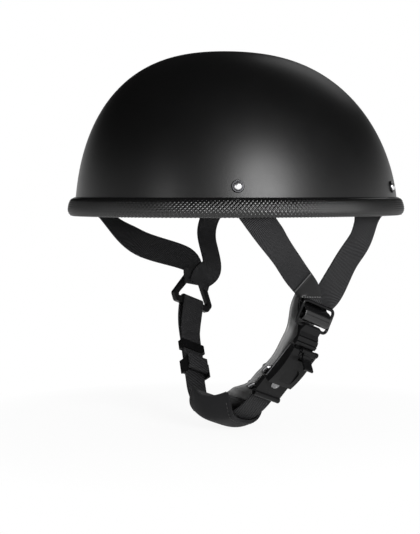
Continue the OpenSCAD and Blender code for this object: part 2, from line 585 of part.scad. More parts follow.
// Slider on the right side, with the webbing over its outer bars
slider_len = 12;
slider_rail = 1.5;
module strap_slider() color([0.06, 0.06, 0.06]) on_right_run() {
    half = web_w / 2 + 0.4;
    for (z = [-half - slider_rail, half]) translate([slider_x - 1.5, slider_y - slider_len / 2, z])
        cube([1.5 - slider_x + 2.8, slider_len, slider_rail]);
    for (dy = [-1, 1]) translate([web_t / 2 + 1.15, slider_y + dy * (slider_len / 2 - 1.2), -half - 0.6])
        cylinder(h = 2 * half + 1.2, r = 1, $fn = 24);
    translate([slider_x, slider_y, -half - 0.6]) cylinder(h = 2 * half + 1.2, r = slider_bar, $fn = 24);
}

// Keeper band that gathers the doubled webbing
keeper_h = 8;
keeper_t = 1.2;
keep_in = inner_x - web_t / 2 - soft_gap;
keep_out = web_t / 2 + soft_gap;
keep_half = web_w / 2 + soft_gap;
function box_points(x0, x1, half) = [[x0, -half], [x1, -half], [x1, half], [x0, half]];
module strap_keeper() color([0.05, 0.05, 0.05]) on_right_run() translate([0, keeper_y - keeper_h / 2, 0])
    rotate([-90, 0, 0]) linear_extrude(keeper_h) difference() {
        polygon(rounded(box_points(keep_in - keeper_t, keep_out + keeper_t, keep_half + keeper_t),
            [1, 1, 1, 1], 3));
        polygon(box_points(keep_in, keep_out, keep_half));
    }

// Buckle, on the left run
base_x = web_t / 2 + soft_gap;                       // underside of the base plate
base_top = base_x + base_t;
tongue_x = base_top + 0.3;                           // underside of the tongue
tongue_top = tongue_x + tongue_t;
tooth_top = tongue_top + tooth_h;
channel_top = tooth_top + 0.4;
house_end = house_y + house_len;
channel_y = house_y + 8;                             // lower end of the tongue's channel
barrel_r = 1.9;
pin_x = tooth_top + 0.25 + barrel_r;
pin_y = house_end + 0.4;
lever_z = -3.6;                                      // middle of the lever, to the rear
lever_side = 0.4;                                    // clearance at each side of the lever
slot_y = pin_y - 8.5;
ear_r = pin_r + 1.1;
ear_w = 1.9;
anchor_shank_r = 1.9;
anchor_head_r = 3.9;
anchor_head_h = 1.3;
sleeve_x = base_top + 0.1;
sleeve_t = 1.2;
sleeve_top = sleeve_x + sleeve_t;
sleeve_lap = 2.4;                                    // of the sleeve under the housing
sleeve_side = 1;                                     // wall of the sleeve beside the base
sleeve_half = house_w / 2 + 0.2 + sleeve_side;
module anchor_bore() on_run() translate([-5, anchor_y, 0]) rotate([0, 90, 0])
    cylinder(h = 12, r = anchor_shank_r + rivet_gap, $fn = 24);
module along_pin(z, h, r) translate([pin_x, pin_y, z]) cylinder(h = h, r = r, $fn = 24);
slot_front = lever_z + lever_w / 2 + lever_side;
slot_rear = lever_z - lever_w / 2 - lever_side;
module buckle_housing() color([0.07, 0.07, 0.07]) on_run() difference() {
    union() {
        intersection() {
            translate([base_top + 0.02, house_y, -house_w / 2])
                cube([house_face - base_top, house_len, house_w]);
            translate([house_face - face_curve, house_y + house_len / 2, -house_w])
                cylinder(h = 2 * house_w, r = face_curve, $fn = 180);
        }
        for (e = [[slot_front, ear_w], [-house_w / 2, slot_rear + house_w / 2]]) {
            along_pin(e[0], e[1], ear_r);
            translate([channel_top, pin_y - 7, e[0]]) cube([pin_x + ear_r - 0.8 - channel_top, 7, e[1]]);
        }
    }
    // channel for the tongue
    translate([base_top - 1, channel_y, -tongue_w / 2 - 0.4])
        cube([channel_top - base_top + 1, house_len, tongue_w + 0.8]);
    // slot for the lever
    translate([channel_top - 1, slot_y, slot_rear]) cube([house_face, house_len, slot_front - slot_rear]);
    along_pin(-house_w / 2 - 1, house_w / 2 + slot_front + ear_w + 2, pin_r + 0.03);
    // seat over the sleeve and the anchor rivet
    translate([base_top - 1, house_y - 1, -house_w / 2 - 1])
        cube([sleeve_top + 0.1 - base_top + 1, sleeve_lap + 1, house_w + 2]);
    translate([base_top - 1, anchor_y, 0]) rotate([0, 90, 0])
        cylinder(h = sleeve_top + anchor_head_h + 0.4 - base_top + 1, r = anchor_head_r + 0.4);
    // shallow thumb pad
    translate([house_face - pad_deep, house_y + pad_up, -0.8]) rotate([0, 90, 0]) linear_extrude(3)
        polygon(rounded([[-7.2, -7.2], [7.2, -7.2], [7.2, 7.2], [-7.2, 7.2]], [3, 3, 5, 5]));
}
module buckle_base() color([0.5, 0.5, 0.52]) difference() {
    on_run() translate([base_x, anchor_y - 6, -house_w / 2])
        cube([base_t, house_end - anchor_y + 6, house_w]);
    anchor_bore();
}
module lever_pin() color([0.6, 0.6, 0.62]) on_run() {
    along_pin(-house_w / 2 - 0.5, house_w / 2 + slot_front + ear_w + 0.5, pin_r);
    along_pin(-house_w / 2 - 0.6, 0.55, pin_r + 0.5);
}
// The lever's side view, from the pin: it stands off the housing so that a thumb gets under it
function reach(x, y) = [pin_x + x * lever_len / 16, pin_y - y * lever_len / 16];
lever_path = smooth([reach(0.9, 0.4), reach(1.2, 3), reach(2.3, 5), reach(5.2, 6.6), reach(9, 7.9),
    reach(11, 9)], 3);
module buckle_lever() color([0.1, 0.1, 0.1]) on_run() difference() {
    translate([0, 0, lever_z]) {
        across(lever_w) translate([pin_x, pin_y]) circle(r = barrel_r, $fn = 32);
        across(paddle_w) polygon(band(lever_path, 1.6));
        // thumb lip at the tip and a rib over the roll
        across(paddle_w) translate(reach(10.8, 9)) circle(r = 1.1, $fn = 16);
        across(lever_w - 1) translate([pin_x + 1.1, pin_y - 1.6]) circle(r = 1.25, $fn = 20);
        // pawl
        across(lever_w - 2) polygon([[pin_x - 0.2, pin_y - 1.2], [pin_x + 1, pin_y - 2.4],
            [pin_x - 0.3, pin_y - 6.8], [tooth_top + 0.25, pin_y - 6.4],
            [pin_x - barrel_r + 0.15, pin_y - 0.8]]);
    }
    along_pin(-house_w, 2 * house_w, pin_r + pin_gap);
}

// Ratchet tongue and the head that hooks round the ring's bottom bar
head_y = pin_y + barrel_r + 0.4;
tongue_tip = house_y + 12;
hook_c = let (v = from_ring(0, -ring_h / 2) - run_start)
    [v * [sin(chin_end), -cos(chin_end)], v * [cos(chin_end), sin(chin_end)]];
hook_bore = ring_wire + 0.1;
hook_r = hook_bore + 1.3;
head_len = hook_c[1] - head_y;                       // from the tongue's shoulder to the ring's bar
function head_at(share) = head_y + share * head_len;
head_side = [[tongue_x - 0.2, head_y], [tongue_top + 1.4, head_y], [tongue_top + 1.6, head_at(0.21)],
    [tongue_top + 0.6, head_at(0.23)], [tongue_top + 0.9, head_at(0.27)], [tongue_top - 0.5, head_at(0.49)],
    [tongue_top - 1.5, head_at(0.51)], [tongue_top - 1.2, head_at(0.55)], [hook_c[0] + hook_r, head_at(0.74)],
    hook_c + [hook_r, 0], hook_c + [-hook_r, 0], [hook_c[0] - hook_r + 0.4, head_at(0.78)],
    [tongue_x - 0.6, head_at(0.45)]];
head_end = head_len + hook_r;
module buckle_tongue() color([0.08, 0.08, 0.08]) on_run() {
    translate([tongue_x, tongue_tip, -tongue_w / 2]) cube([tongue_t, head_y - tongue_tip + 1, tongue_w]);
    for (k = [0 : tooth_n - 1]) translate([0, head_y - 3 - (k + 1) * tooth_pitch, 0]) across(tongue_w)
        polygon([[tongue_top - TINY, 0], [tooth_top, 0.2], [tooth_top, 0.6],
            [tongue_top - TINY, tooth_pitch - 0.2]]);
    difference() {
        intersection() {
            across(head_w, head_shift) {
                polygon(head_side);
                translate(hook_c) circle(r = hook_r);
            }
            // rounded outline, widest at the bottom
            translate([-10, head_y, head_shift]) rotate([0, 90, 0]) linear_extrude(30)
                polygon(rounded([[-head_w / 2, -1], [head_w / 2, -1], [head_w / 2, 6], [head_top, head_end],
                    [-head_top, head_end], [-head_w / 2, 6]], [0.5, 0.5, 4, 1.5, 4, 4]));
        }
        translate([hook_c[0], hook_c[1], -head_w]) cylinder(h = 2 * head_w, r = hook_bore);
    }
}

// Sleeve over the anchored end of the chin strap, with a rolled lower edge
roll_r = 2.3;
roll_c = [web_t / 2 + 0.15 + roll_r, sleeve_end - 1];
sleeve_len = house_y + sleeve_lap - 0.15 - sleeve_end;
module anchor_sleeve() color([0.1, 0.1, 0.1]) difference() {
    on_run() {
        across(2 * sleeve_half) difference() {
            union() {
                translate([sleeve_x, sleeve_end]) square([sleeve_t, sleeve_len]);
                translate(roll_c) circle(r = roll_r, $fn = 24);
            }
            translate(roll_c) circle(r = roll_r - 1.1, $fn = 24);
        }
        for (z = [-sleeve_half, sleeve_half - sleeve_side]) translate([base_x - 1.5, sleeve_end + 3, z])
            cube([sleeve_top - base_x + 1.5, house_y - 0.15 - sleeve_end - 3, sleeve_side]);
    }
    anchor_bore();
}
module anchor_rivet() color([0.78, 0.78, 0.8]) on_run() translate([0, anchor_y, 0]) rotate([0, 90, 0]) {
    translate([0, 0, -web_t / 2 - 0.9]) cylinder(h = 0.8, r = 3.4, $fn = 24);
    translate([0, 0, -web_t / 2 - 0.5])
        cylinder(h = sleeve_top + web_t / 2 + 1, r = anchor_shank_r, $fn = 24);
    translate([0, 0, sleeve_top + 0.05]) rotate_extrude() polygon([[0, 0], [anchor_head_r, 0],
        [anchor_head_r, 0.5], [anchor_head_r - 0.8, anchor_head_h], [anchor_head_r - 1.5, anchor_head_h],
        [1.6, 0.7], [0, 0.7]]);
}

// Comfort flap behind the buckle, down into the chin cup
cup_in = chin_r - cup_deep;                          // outer face of the cup's lining
flap_in = cup_in - lining_t - 3 * soft_gap - flap_t / 2;
flap_top = leg_2 - web_t / 2 - soft_gap - flap_t / 2;
flap_path = smooth(concat([from_ring(flap_top - 3.4, 14), from_ring(flap_top - 3.6, 2),
    from_run(-8.6, 62), from_run(-4.4, 50), from_run(-1.5, 38), from_run(-2, 28), from_run(-3.9, anchor_y),
    from_run(-4.8, 7)], [for (q = [[cup_in - 1.2, -35], [flap_in + 0.5, -43], [flap_in, -52], [flap_in, -60]])
        chin_c + q[0] * [cos(q[1]), sin(q[1])]]), 4);
snap_bore = 1.3;
// Snaps near the flap's front edge: [place along the run, place across]
snap_places = [[26.5, 12.6], [7.5, 12]];
function snap_index(y) =
    let (d = [for (p = flap_path) abs((p - run_start) * [cos(chin_end), sin(chin_end)] - y)])
    search(min(d), d)[0];
module at_snaps() for (s = snap_places) {
    i = snap_index(s[0]);
    u = path_dir(flap_path, i);
    on_loop() translate([flap_path[i][0], flap_path[i][1], s[1]]) rotate([0, 0, atan2(u[0], -u[1])])
        rotate([0, 90, 0]) children();
}
module comfort_flap() color([0.2, 0.2, 0.21]) difference() {
    on_loop() across(flap_w, flap_shift) polygon(band(flap_path, flap_t));
    at_snaps() translate([0, 0, -flap_t * 2]) cylinder(h = flap_t * 4, r = snap_bore, $fn = 16);
}
snap_stand = flap_t / 2 + 0.45;                       // of the snaps off the flap's middle
module snap_caps() color([0.8, 0.8, 0.82]) at_snaps() translate([0, 0, snap_stand]) {
    rotate_extrude() polygon([[0, 0], [snap_r, 0], [snap_r, 0.5], [snap_r - 0.6, 1.2], [snap_r - 1.4, 1.3],
        [1.2, 0.9], [0, 0.9]]);
    translate([0, 0, -2 * snap_stand]) cylinder(h = 2 * snap_stand + 0.1, r = snap_bore - 0.1, $fn = 16);
}
module snap_studs() color([0.5, 0.5, 0.52]) at_snaps() translate([0, 0, -snap_stand - 1.25])
    cylinder(h = 1.2, r = snap_r - 0.8);

// Chin cup: a deep skin outside the webbing and a padded lining inside it, both bent
// round the loop; radii are functions of the place q across the cup, from -1 to 1
module cup_sheet(r_in, r_out, half = cup_half, mid = cup_mid, nu = 14, nv = 12) {
    function place(r, i, j) = let (u = 2 * i / nu - 1, v = 2 * j / nv - 1,
        a = -90 + half * u * (mid + (1 - mid) * v * v), q = cup_w / 2 * v * (1 - 0.14 * u * u))
        loop_point(r * cos(a), chin_c[1] + r * sin(a), q);
    inner = [for (i = [0 : nu]) for (j = [0 : nv]) place(r_in(2 * j / nv - 1), i, j)];
    outer = [for (i = [0 : nu]) for (j = [0 : nv]) place(r_out(2 * j / nv - 1), i, j)];
    m = (nu + 1) * (nv + 1);
    rim = concat([for (i = [0 : nu]) i * (nv + 1)], [for (j = [1 : nv]) nu * (nv + 1) + j],
        [for (i = [nu - 1 : -1 : 0]) i * (nv + 1) + nv], [for (j = [nv - 1 : -1 : 1]) j]);
    polyhedron(concat(inner, outer), concat(
        [for (i = [0 : nu - 1]) for (j = [0 : nv - 1]) let (a = i * (nv + 1) + j, b = a + nv + 1)
            each [[a, b + 1, a + 1], [a, b, b + 1]]],
        [for (i = [0 : nu - 1]) for (j = [0 : nv - 1]) let (a = m + i * (nv + 1) + j, b = a + nv + 1)
            each [[a, a + 1, b + 1], [a, b + 1, b]]],
        [for (k = [0 : len(rim) - 1]) let (a = rim[k], b = rim[(k + 1) % len(rim)])
            each [[a, m + b, b], [a, m + a, m + b]]]));
}
skin_in = chin_r + web_t / 2 + soft_gap + 1.2;       // inner radius of the skin at its middle
skin_power = 5;                                      // how square the skin's section is
skin_edge = cup_in - lining_t - 1;                   // the same at its front edge
rear_drop = 4;                                       // of the rear edge below the front edge
function skin_at(q) = let (edge = skin_edge + (q < 0 ? rear_drop : 0))
    edge + (skin_in - edge) * (1 - pow(abs(q), skin_power));
module chin_cup() color([0.13, 0.13, 0.13])
    cup_sheet(function (q) skin_at(q), function (q) skin_at(q) + cup_wall);
lining_half = 35.2;  // half of the angle that the lining spans
function lining_at(q) = min(cup_in - 0.6 * q * q, skin_at(q) - soft_gap);
module cup_lining() color([0.17, 0.17, 0.17]) cup_sheet(
    function (q) lining_at(q) - lining_t * (0.25 + 0.75 * sqrt(1 - pow(abs(q), 3))),
    function (q) lining_at(q), lining_half, 1);

shell();
edge_trim();
foam_liner();
crown_pad();
front_pad();
rear_pad();
left_pad();
right_pad();
strap_rivets();
rivet_rings();
rivet_washers();
left_front_strap();
left_rear_strap();
right_front_strap();
right_rear_strap();
left_strap_loop();
slide_ring();
buckle_tongue();
buckle_housing();
buckle_base();
lever_pin();
buckle_lever();
anchor_sleeve();
anchor_rivet();
comfort_flap();
snap_caps();
snap_studs();
chin_strap();
chin_cup();
cup_lining();
strap_keeper();
strap_slider();
strap_yoke();
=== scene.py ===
"""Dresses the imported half-shell riding helmet.

Satin shell, embossed rim, woven straps, buckle, pads, chin cup and stage.
"""
from math import atan, cos, pi, radians, sin, sqrt

import bmesh
import bpy
import numpy as np
from bpy.props import FloatProperty, FloatVectorProperty, IntProperty, PointerProperty
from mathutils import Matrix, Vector


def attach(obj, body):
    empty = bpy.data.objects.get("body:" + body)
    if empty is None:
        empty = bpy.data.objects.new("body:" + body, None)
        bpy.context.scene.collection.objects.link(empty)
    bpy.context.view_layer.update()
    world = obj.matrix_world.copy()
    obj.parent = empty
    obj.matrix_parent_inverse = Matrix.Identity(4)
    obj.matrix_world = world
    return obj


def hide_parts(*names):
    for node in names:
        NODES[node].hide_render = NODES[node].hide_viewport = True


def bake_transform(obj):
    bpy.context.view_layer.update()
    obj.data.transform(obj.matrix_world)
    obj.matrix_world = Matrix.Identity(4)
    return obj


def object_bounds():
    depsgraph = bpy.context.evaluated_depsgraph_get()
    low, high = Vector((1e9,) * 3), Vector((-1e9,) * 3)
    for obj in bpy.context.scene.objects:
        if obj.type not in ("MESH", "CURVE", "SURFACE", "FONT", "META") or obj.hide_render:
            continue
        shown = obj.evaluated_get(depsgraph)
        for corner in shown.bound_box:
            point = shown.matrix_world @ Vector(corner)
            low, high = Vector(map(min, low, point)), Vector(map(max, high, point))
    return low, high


bl_info = {
    "name": "Half-shell riding helmet",
    "version": (1, 0, 0),
    "blender": (4, 5, 0),
    "location": "View3D > Sidebar > Helmet",
    "description": "Builds the finished look of a half-shell riding helmet round its packed solids",
    "category": "Add Mesh",
}

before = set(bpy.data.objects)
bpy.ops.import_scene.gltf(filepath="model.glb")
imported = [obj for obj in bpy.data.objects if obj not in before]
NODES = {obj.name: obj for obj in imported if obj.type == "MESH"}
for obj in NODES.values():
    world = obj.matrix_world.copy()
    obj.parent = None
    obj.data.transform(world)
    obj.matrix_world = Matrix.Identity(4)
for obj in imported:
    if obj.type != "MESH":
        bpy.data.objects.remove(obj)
CAD_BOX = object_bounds()
MM = 0.001

# Sizes of the solids, in millimetres
SHELL_LEN, SHELL_WID, CROWN_H, WALL = 275.0, 228.0, 128.5, 3.2
DOME_POWER, CROWN_LEAN, WIDEST_DROP = 2.52, 12.9, 2.9
TRIM_H, TRIM_BULGE, TRIM_IN, TRIM_BELLY, TRIM_FLOOR = 14.5, 4.8, 2.8, 5.2, 2.0
LINER_T = 8.0
BAND_T, BAND_H, BAND_Z, PAD_R, PAD_T, PAD_EDGE = 9.0, 34.0, 9.0, 44.0, 11.0, 2.0
RIVET_Z, RIVET_FRONT, RIVET_REAR = 22.5, 53.7, 125.0
WEB_W, WEB_T, LAYER_GAP, SOFT_GAP = 22.0, 1.6, 0.15, 0.3
LOOP_TILT, LOOP_Y, LOOP_Z = radians(20), 12.5, 75.5
CHIN_R, CHIN_DROP, CHIN_END = 47.0, 46.0, radians(57)
RING_W, RING_H, RING_WIRE, RING_LEAN, RING_X, RING_DROP = 31.0, 19.0, 1.25, radians(80), 77.5, 2.5
RING_SHIFT, RING_MID, LOOP_SLACK = 2.0, -1.8, 1.1
YOKE_H, YOKE_T, YOKE_BAR = 33.0, 4.0, 5.5
ANCHOR_Y = 17.6
SLIDER_X, SLIDER_Y, INNER_X = -4.05, 17.0, -1.9
CUP_W, CUP_HALF, CUP_MID, CUP_WALL, CUP_DEEP = 43.0, radians(38), 0.71, 2.0, 9.0
LINING_T, LINING_HALF = 3.0, radians(35.2)
FLAP_W, FLAP_SHIFT, FLAP_T = 28.0, 3.0, 1.8

# Seams and the cloth runs that fill the pads, in millimetres and frames
PAD_START, PAD_MOVE, PAD_CORD, SEAM_REACH, VOXEL = 1.3, 1.6, 1.1, 2.4, 2.2
CLOTH_PRESSURE, CLOTH_FRAMES = 4.0, 20
DIAMOND_STEPS = 6  # Points along one embossed diamond, and round it

# The stage, in metres and degrees; the camera's pixels are the photograph's
CAMERA_BEARING, CAMERA_DISTANCE, CAMERA_SHIFT, CAMERA_HEIGHT = 50, 1.1, -0.0233, 0.019
FOCAL, HORIZON, PICTURE_H, SENSOR = 1369, 75.8, 534, 36
LAMPS = (("Key", 82, 12, 0.6, 1.0, 1.2), ("Fill", 18, 5, 0.4, 0.14, 1.4), ("Back", 205, 35, 0.6, 0.03, 1.3))
LAMP_AIM = 0.02
SKY_LOW, SKY_HIGH, SKY_FALL = -0.02, 0.28, 0.99
FLOOR_SIZE, FLOOR_DROP, FLOOR_WHITE, FLOOR_NEAR, FLOOR_FAR, FLOOR_LIT = 4.0, 0.0005, 0.95, 0.25, 0.6, 0.9

DOME_H = CROWN_H + WIDEST_DROP
RIM_RISE = (TRIM_H + WIDEST_DROP) / DOME_H
WEB_OFF = WALL + 1.25 + WEB_T / 2
TRIM_OFF = WALL + TRIM_IN + WEB_T / 2 + 1.5
PAD_OFF = WALL + 0.4 + LINER_T + 0.6


# Vectors and smooth paths

def unit(v):
    v = np.asarray(v, float)
    return v / np.linalg.norm(v, axis=-1, keepdims=True)


def mix(a, b, t):
    return a + (b - a) * t


def smooth(points, n):
    """A smooth path through the points, with n steps in each stretch."""
    p = np.asarray(points, float)
    q = np.vstack([p[:1], p, p[-1:]])
    t = (np.arange(n) / n)[:, None]
    rows = [0.5 * (2 * b + (c - a) * t + (2 * a - 5 * b + 4 * c - d) * t ** 2
                   + (3 * b - a - 3 * c + d) * t ** 3)
            for a, b, c, d in zip(q, q[1:], q[2:], q[3:])]
    return np.vstack(rows + [p[-1:]])


def stack(*parts):
    """Points from their coordinates."""
    return np.stack(np.broadcast_arrays(*parts), -1)


def grid(*spans):
    """Grids of numbers, from a start, an end and a count for each way."""
    return np.meshgrid(*(np.linspace(*span) for span in spans), indexing="ij")


def arc(centre, r, a0, a1, n):
    a = np.linspace(a0, a1, n + 1)
    return np.asarray(centre) + r * stack(np.cos(a), np.sin(a))


def direction(path, step=1):
    """Unit directions along a path, each taken over the neighbours on both sides."""
    k = np.arange(len(path))
    return unit(path[np.minimum(k + step, len(path) - 1)] - path[np.maximum(k - step, 0)])


def distances(path):
    return np.concatenate([[0], np.cumsum(np.linalg.norm(np.diff(path, axis=0), axis=1))])


def place_at(path, z):
    """The point of a path, in metres, that is nearest to a height in millimetres."""
    return path[np.argmin(abs(path[:, 2] - z))] * MM


# The dome: phi turns from the front towards the wearer's left, off is a distance inwards

def dome_level(z):
    return np.arcsin((np.asarray(z, float) + WIDEST_DROP) / DOME_H)


def dome_skin(phi, level):
    s = np.sin(level)
    w = (np.cos(level) ** 2 / (1 - RIM_RISE ** 2)) ** (1 / DOME_POWER)
    return stack(SHELL_WID / 2 * np.sin(phi) * w,
                 -SHELL_LEN / 2 * np.cos(phi) * w - CROWN_LEAN * np.maximum(0, s - RIM_RISE) ** 1.5,
                 s * DOME_H - WIDEST_DROP)


def dome_normal(phi, level):
    d = radians(1)
    return unit(np.cross(dome_skin(phi + d, level) - dome_skin(phi - d, level),
                         dome_skin(phi, level + d / 2) - dome_skin(phi, level - d / 2)))


def dome_point(phi, level, off):
    return dome_skin(phi, level) - np.asarray(off, float)[..., None] * dome_normal(phi, level)


def wall_point(phi, z, off):
    """A point on the shell's wall at a bearing in degrees and a height."""
    return dome_point(np.radians(phi), dome_level(z), off)


def rim_normal(phi):
    phi = np.radians(phi)
    return unit(stack(np.sin(phi) / SHELL_WID, -np.cos(phi) / SHELL_LEN, 0 * phi))


# Frames of the harness: on the loop's plane x runs to the wearer's left, y up it, z to the front

def loop_dir(x, y, z):
    s, c = sin(LOOP_TILT), cos(LOOP_TILT)
    return stack(x, y * s - z * c, y * c + z * s).astype(float)


def loop_point(x, y, z):
    return loop_dir(x, y, z) + [0, LOOP_Y, -LOOP_Z]


def local(origin, lean):
    """Maker of points from a place along a straight run: x away from the head, y up the run."""
    c, s = cos(lean), sin(lean)
    return lambda x, y: np.asarray(origin) + np.array([y * c + x * s, y * s - x * c])


CHIN_C = np.array([0, -CHIN_DROP])
RUN_START = CHIN_C + CHIN_R * np.array([sin(CHIN_END), -cos(CHIN_END)])
from_run = local(RUN_START, CHIN_END)
from_ring = local([RING_X, -RING_DROP], RING_LEAN)
CLIMB_TURN = radians(20)
CLIMB_PATH = arc(from_run(-70, 53), 70, CHIN_END - pi / 2, CHIN_END - pi / 2 + CLIMB_TURN, 12)
YOKE_LEAN = CHIN_END + CLIMB_TURN
from_yoke = local(CLIMB_PATH[-1], YOKE_LEAN)
RING_FACE = loop_dir(sin(RING_LEAN), -cos(RING_LEAN), 0)
BAR_LINE = loop_dir(0, 0, -1)
FLIP = np.array([-1, 1, 1])


def ring_place(x, y, z):
    return loop_point(*from_ring(x, y), z)


def yoke_place(x, y, z):
    return loop_point(*from_yoke(x, y), z) * FLIP


def layer(k):
    """Depth of the k-th layer of webbing behind the ring's top bar."""
    return -(RING_WIRE + 0.25 + WEB_T / 2) - k * (WEB_T + LAYER_GAP)


def level_line(face):
    return unit(np.cross(face, [0, 0, -1]))


def wall_row(phi, z, off):
    v = dome_normal(np.radians(phi), dome_level(z))
    return wall_point(phi, z, off), v, level_line(v)


def strap_routes():
    """Control rows of the four straps, as the solids have them."""
    end = RING_H / 2 + 0.2
    front = [wall_row(RIVET_FRONT + turn, z, off) for turn, z, off in (
        (-2.6, RIVET_Z + 11, WEB_OFF), (0, RIVET_Z, WEB_OFF), (1.5, RIVET_Z - 5.5, WEB_OFF + 0.1),
        (3, 12, TRIM_OFF - 1), (5, 7, TRIM_OFF + 0.3), (7.9, -2, TRIM_OFF + 0.1))]
    rear = [wall_row(RIVET_REAR + turn, z, off) for turn, z, off in (
        (2.6, RIVET_Z + 11, WEB_OFF), (0, RIVET_Z, WEB_OFF), (-2.4, RIVET_Z - 5.5, WEB_OFF + 0.1),
        (-4.8, 12, TRIM_OFF - 1))]
    rear += [(wall_point(RIVET_REAR + turn, z, off), face, level_line(face)) for turn, z, off, face in (
        (-7.2, 7, TRIM_OFF + 2.6, [1, 0.26, 0]), (-12, -2, TRIM_OFF + 4.2, [1, -0.08, 0]))]
    back = YOKE_T + 0.15 + 0.2 + WEB_T
    back_2 = back + WEB_T + LAYER_GAP
    face = loop_dir(sin(YOKE_LEAN), -cos(YOKE_LEAN), 0) * FLIP
    flipped = [[(np.asarray(q) * FLIP, np.asarray(f) * FLIP, -np.asarray(c) * FLIP) for q, f, c in rows]
               for rows in (front, rear)]
    none = (0, 0, 0)
    return {
        "left_front_strap": front + [
            ((86, -34.8, -24.4), (0.95, 0.06, -0.28), none, 0.98),
            ((79.1, -12.6, -42.7), (0.9, -0.08, -0.42), none, 0.93),
            ((77.4, 2, -56.2), (0.9, -0.12, -0.4), none, 0.88),
            (ring_place(layer(0), end, 10), RING_FACE, BAR_LINE, 0.97)],
        "left_rear_strap": rear + [
            ((92.4, 43.4, -18.6), (1, -0.12, -0.08)), ((85.8, 34.3, -36), (1, -0.16, -0.16), none, 1.04),
            (ring_place(layer(1) - 1.5, end + 11, -7.8), (0.93, -0.26, -0.24), none, 1.12),
            (ring_place(layer(1), end, -1.5), RING_FACE, BAR_LINE)],
        "right_front_strap": flipped[0] + [
            ((-88, -34, -24), (-0.98, 0.05, -0.1)), (yoke_place(-back + 1.2, YOKE_H + 6, 12), face),
            (yoke_place(-back, YOKE_H - 6, 4), face), (yoke_place(-back, YOKE_H - 14, 2), face)],
        "right_rear_strap": flipped[1] + [
            ((-91, 42, -19), (-1, -0.03, -0.05)), (yoke_place(-back_2 - 2.5, YOKE_H + 7, -12), face),
            (yoke_place(-back_2 - 0.3, YOKE_H - 6, -4), face), (yoke_place(-back_2, YOKE_H - 14, -2), face)],
    }


# Mesh building

def new_object(name, data):
    obj = bpy.data.objects.new(name, data)
    bpy.context.scene.collection.objects.link(obj)
    return obj


def finish_mesh(mesh, sharp=40, recalc=True):
    """Joins doubles, turns the faces outwards and shades the mesh smooth between sharp edges."""
    bm = bmesh.new()
    bm.from_mesh(mesh)
    bmesh.ops.remove_doubles(bm, verts=bm.verts, dist=1e-6)
    if recalc:
        bmesh.ops.recalc_face_normals(bm, faces=bm.faces)
    bm.to_mesh(mesh)
    bm.free()
    mesh.shade_smooth()
    mesh.set_sharp_from_angle(angle=radians(sharp))


def mesh_object(name, points, faces, uv=None, sharp=40, recalc=True, marks=None):
    """An object from points in millimetres; uv and marks hold a place and named values for each point."""
    mesh = bpy.data.meshes.new(name)
    mesh.from_pydata((np.asarray(points, float) * MM).tolist(), [], [list(map(int, f)) for f in faces])
    if uv is not None:
        layer_ = mesh.uv_layers.new(name="UVMap")
        index = np.zeros(len(mesh.loops), int)
        mesh.loops.foreach_get("vertex_index", index)
        layer_.data.foreach_set("uv", (np.asarray(uv, float)[index] * MM).ravel())
    for key, values in (marks or {}).items():
        mark = mesh.attributes.new(key, "FLOAT", "POINT")
        mark.data.foreach_set("value", np.asarray(values, float).ravel())
    finish_mesh(mesh, sharp, recalc)
    return new_object(name, mesh)


def grid_faces(rows, cols, start=0, wrap=False):
    """Quads between rows of points, closed round each row if wrap."""
    return [(start + i * cols + j, start + i * cols + (j + 1) % cols,
             start + (i + 1) * cols + (j + 1) % cols, start + (i + 1) * cols + j)
            for i in range(rows - 1) for j in range(cols if wrap else cols - 1)]


def tube_object(name, rings, uv=None, caps=True, sharp=40, marks=None):
    """A tube of equal rings of points, with flat ends."""
    n, m = rings.shape[:2]
    faces = grid_faces(n, m, wrap=True)
    if caps:
        faces += [range(m), range((n - 1) * m, n * m)]
    return mesh_object(name, rings.reshape(-1, 3), faces, None if uv is None else uv.reshape(-1, 2),
                       sharp, marks=marks)


def outline(rows, cols):
    """Indices round the edge of a grid of points, back to the first."""
    return ([i * cols for i in range(rows)] + [(rows - 1) * cols + j for j in range(1, cols)]
            + [i * cols + cols - 1 for i in range(rows - 2, -1, -1)] + list(range(cols - 2, -1, -1)))


def slab_object(name, low, high, rim=None, sharp=75):
    """A closed sheet between two grids of points, joined along its outline."""
    rows, cols = low.shape[:2]
    m = rows * cols
    rim = rim or outline(rows, cols)
    faces = grid_faces(rows, cols) + grid_faces(rows, cols, m)
    faces += [(a, b, m + b, m + a) for a, b in zip(rim, rim[1:])]
    points = np.concatenate([low.reshape(-1, 3), high.reshape(-1, 3)])
    return mesh_object(name, points, faces, sharp=sharp)


def strap_section(half, thick, mids=6, bead=0.94):
    """Outline of webbing: places across and depths, with round edges a little thicker than the middle."""
    r = thick / 2
    turn = np.radians(np.linspace(-90, 90, 5))
    right = stack(half - r + r * np.cos(turn), r * np.sin(turn))
    top = stack(np.linspace(half - 2 * r, 2 * r - half, mids), bead * r)
    half_turn = np.vstack([right, top])
    return np.vstack([half_turn, -half_turn])


def strip_object(name, place, across, out, thick):
    """A woven strip whose middle follows place; across holds its half width and out its face."""
    half = np.linalg.norm(across, axis=1).max()
    section = strap_section(half, thick)
    run = distances(place)
    rings = (place[:, None] + across[:, None] * (section[:, 0] / half)[None, :, None]
             + out[:, None] * section[:, 1][None, :, None])
    uv = stack(section[None, :, 0], run[:, None])
    return tube_object(name, rings, uv, sharp=50)


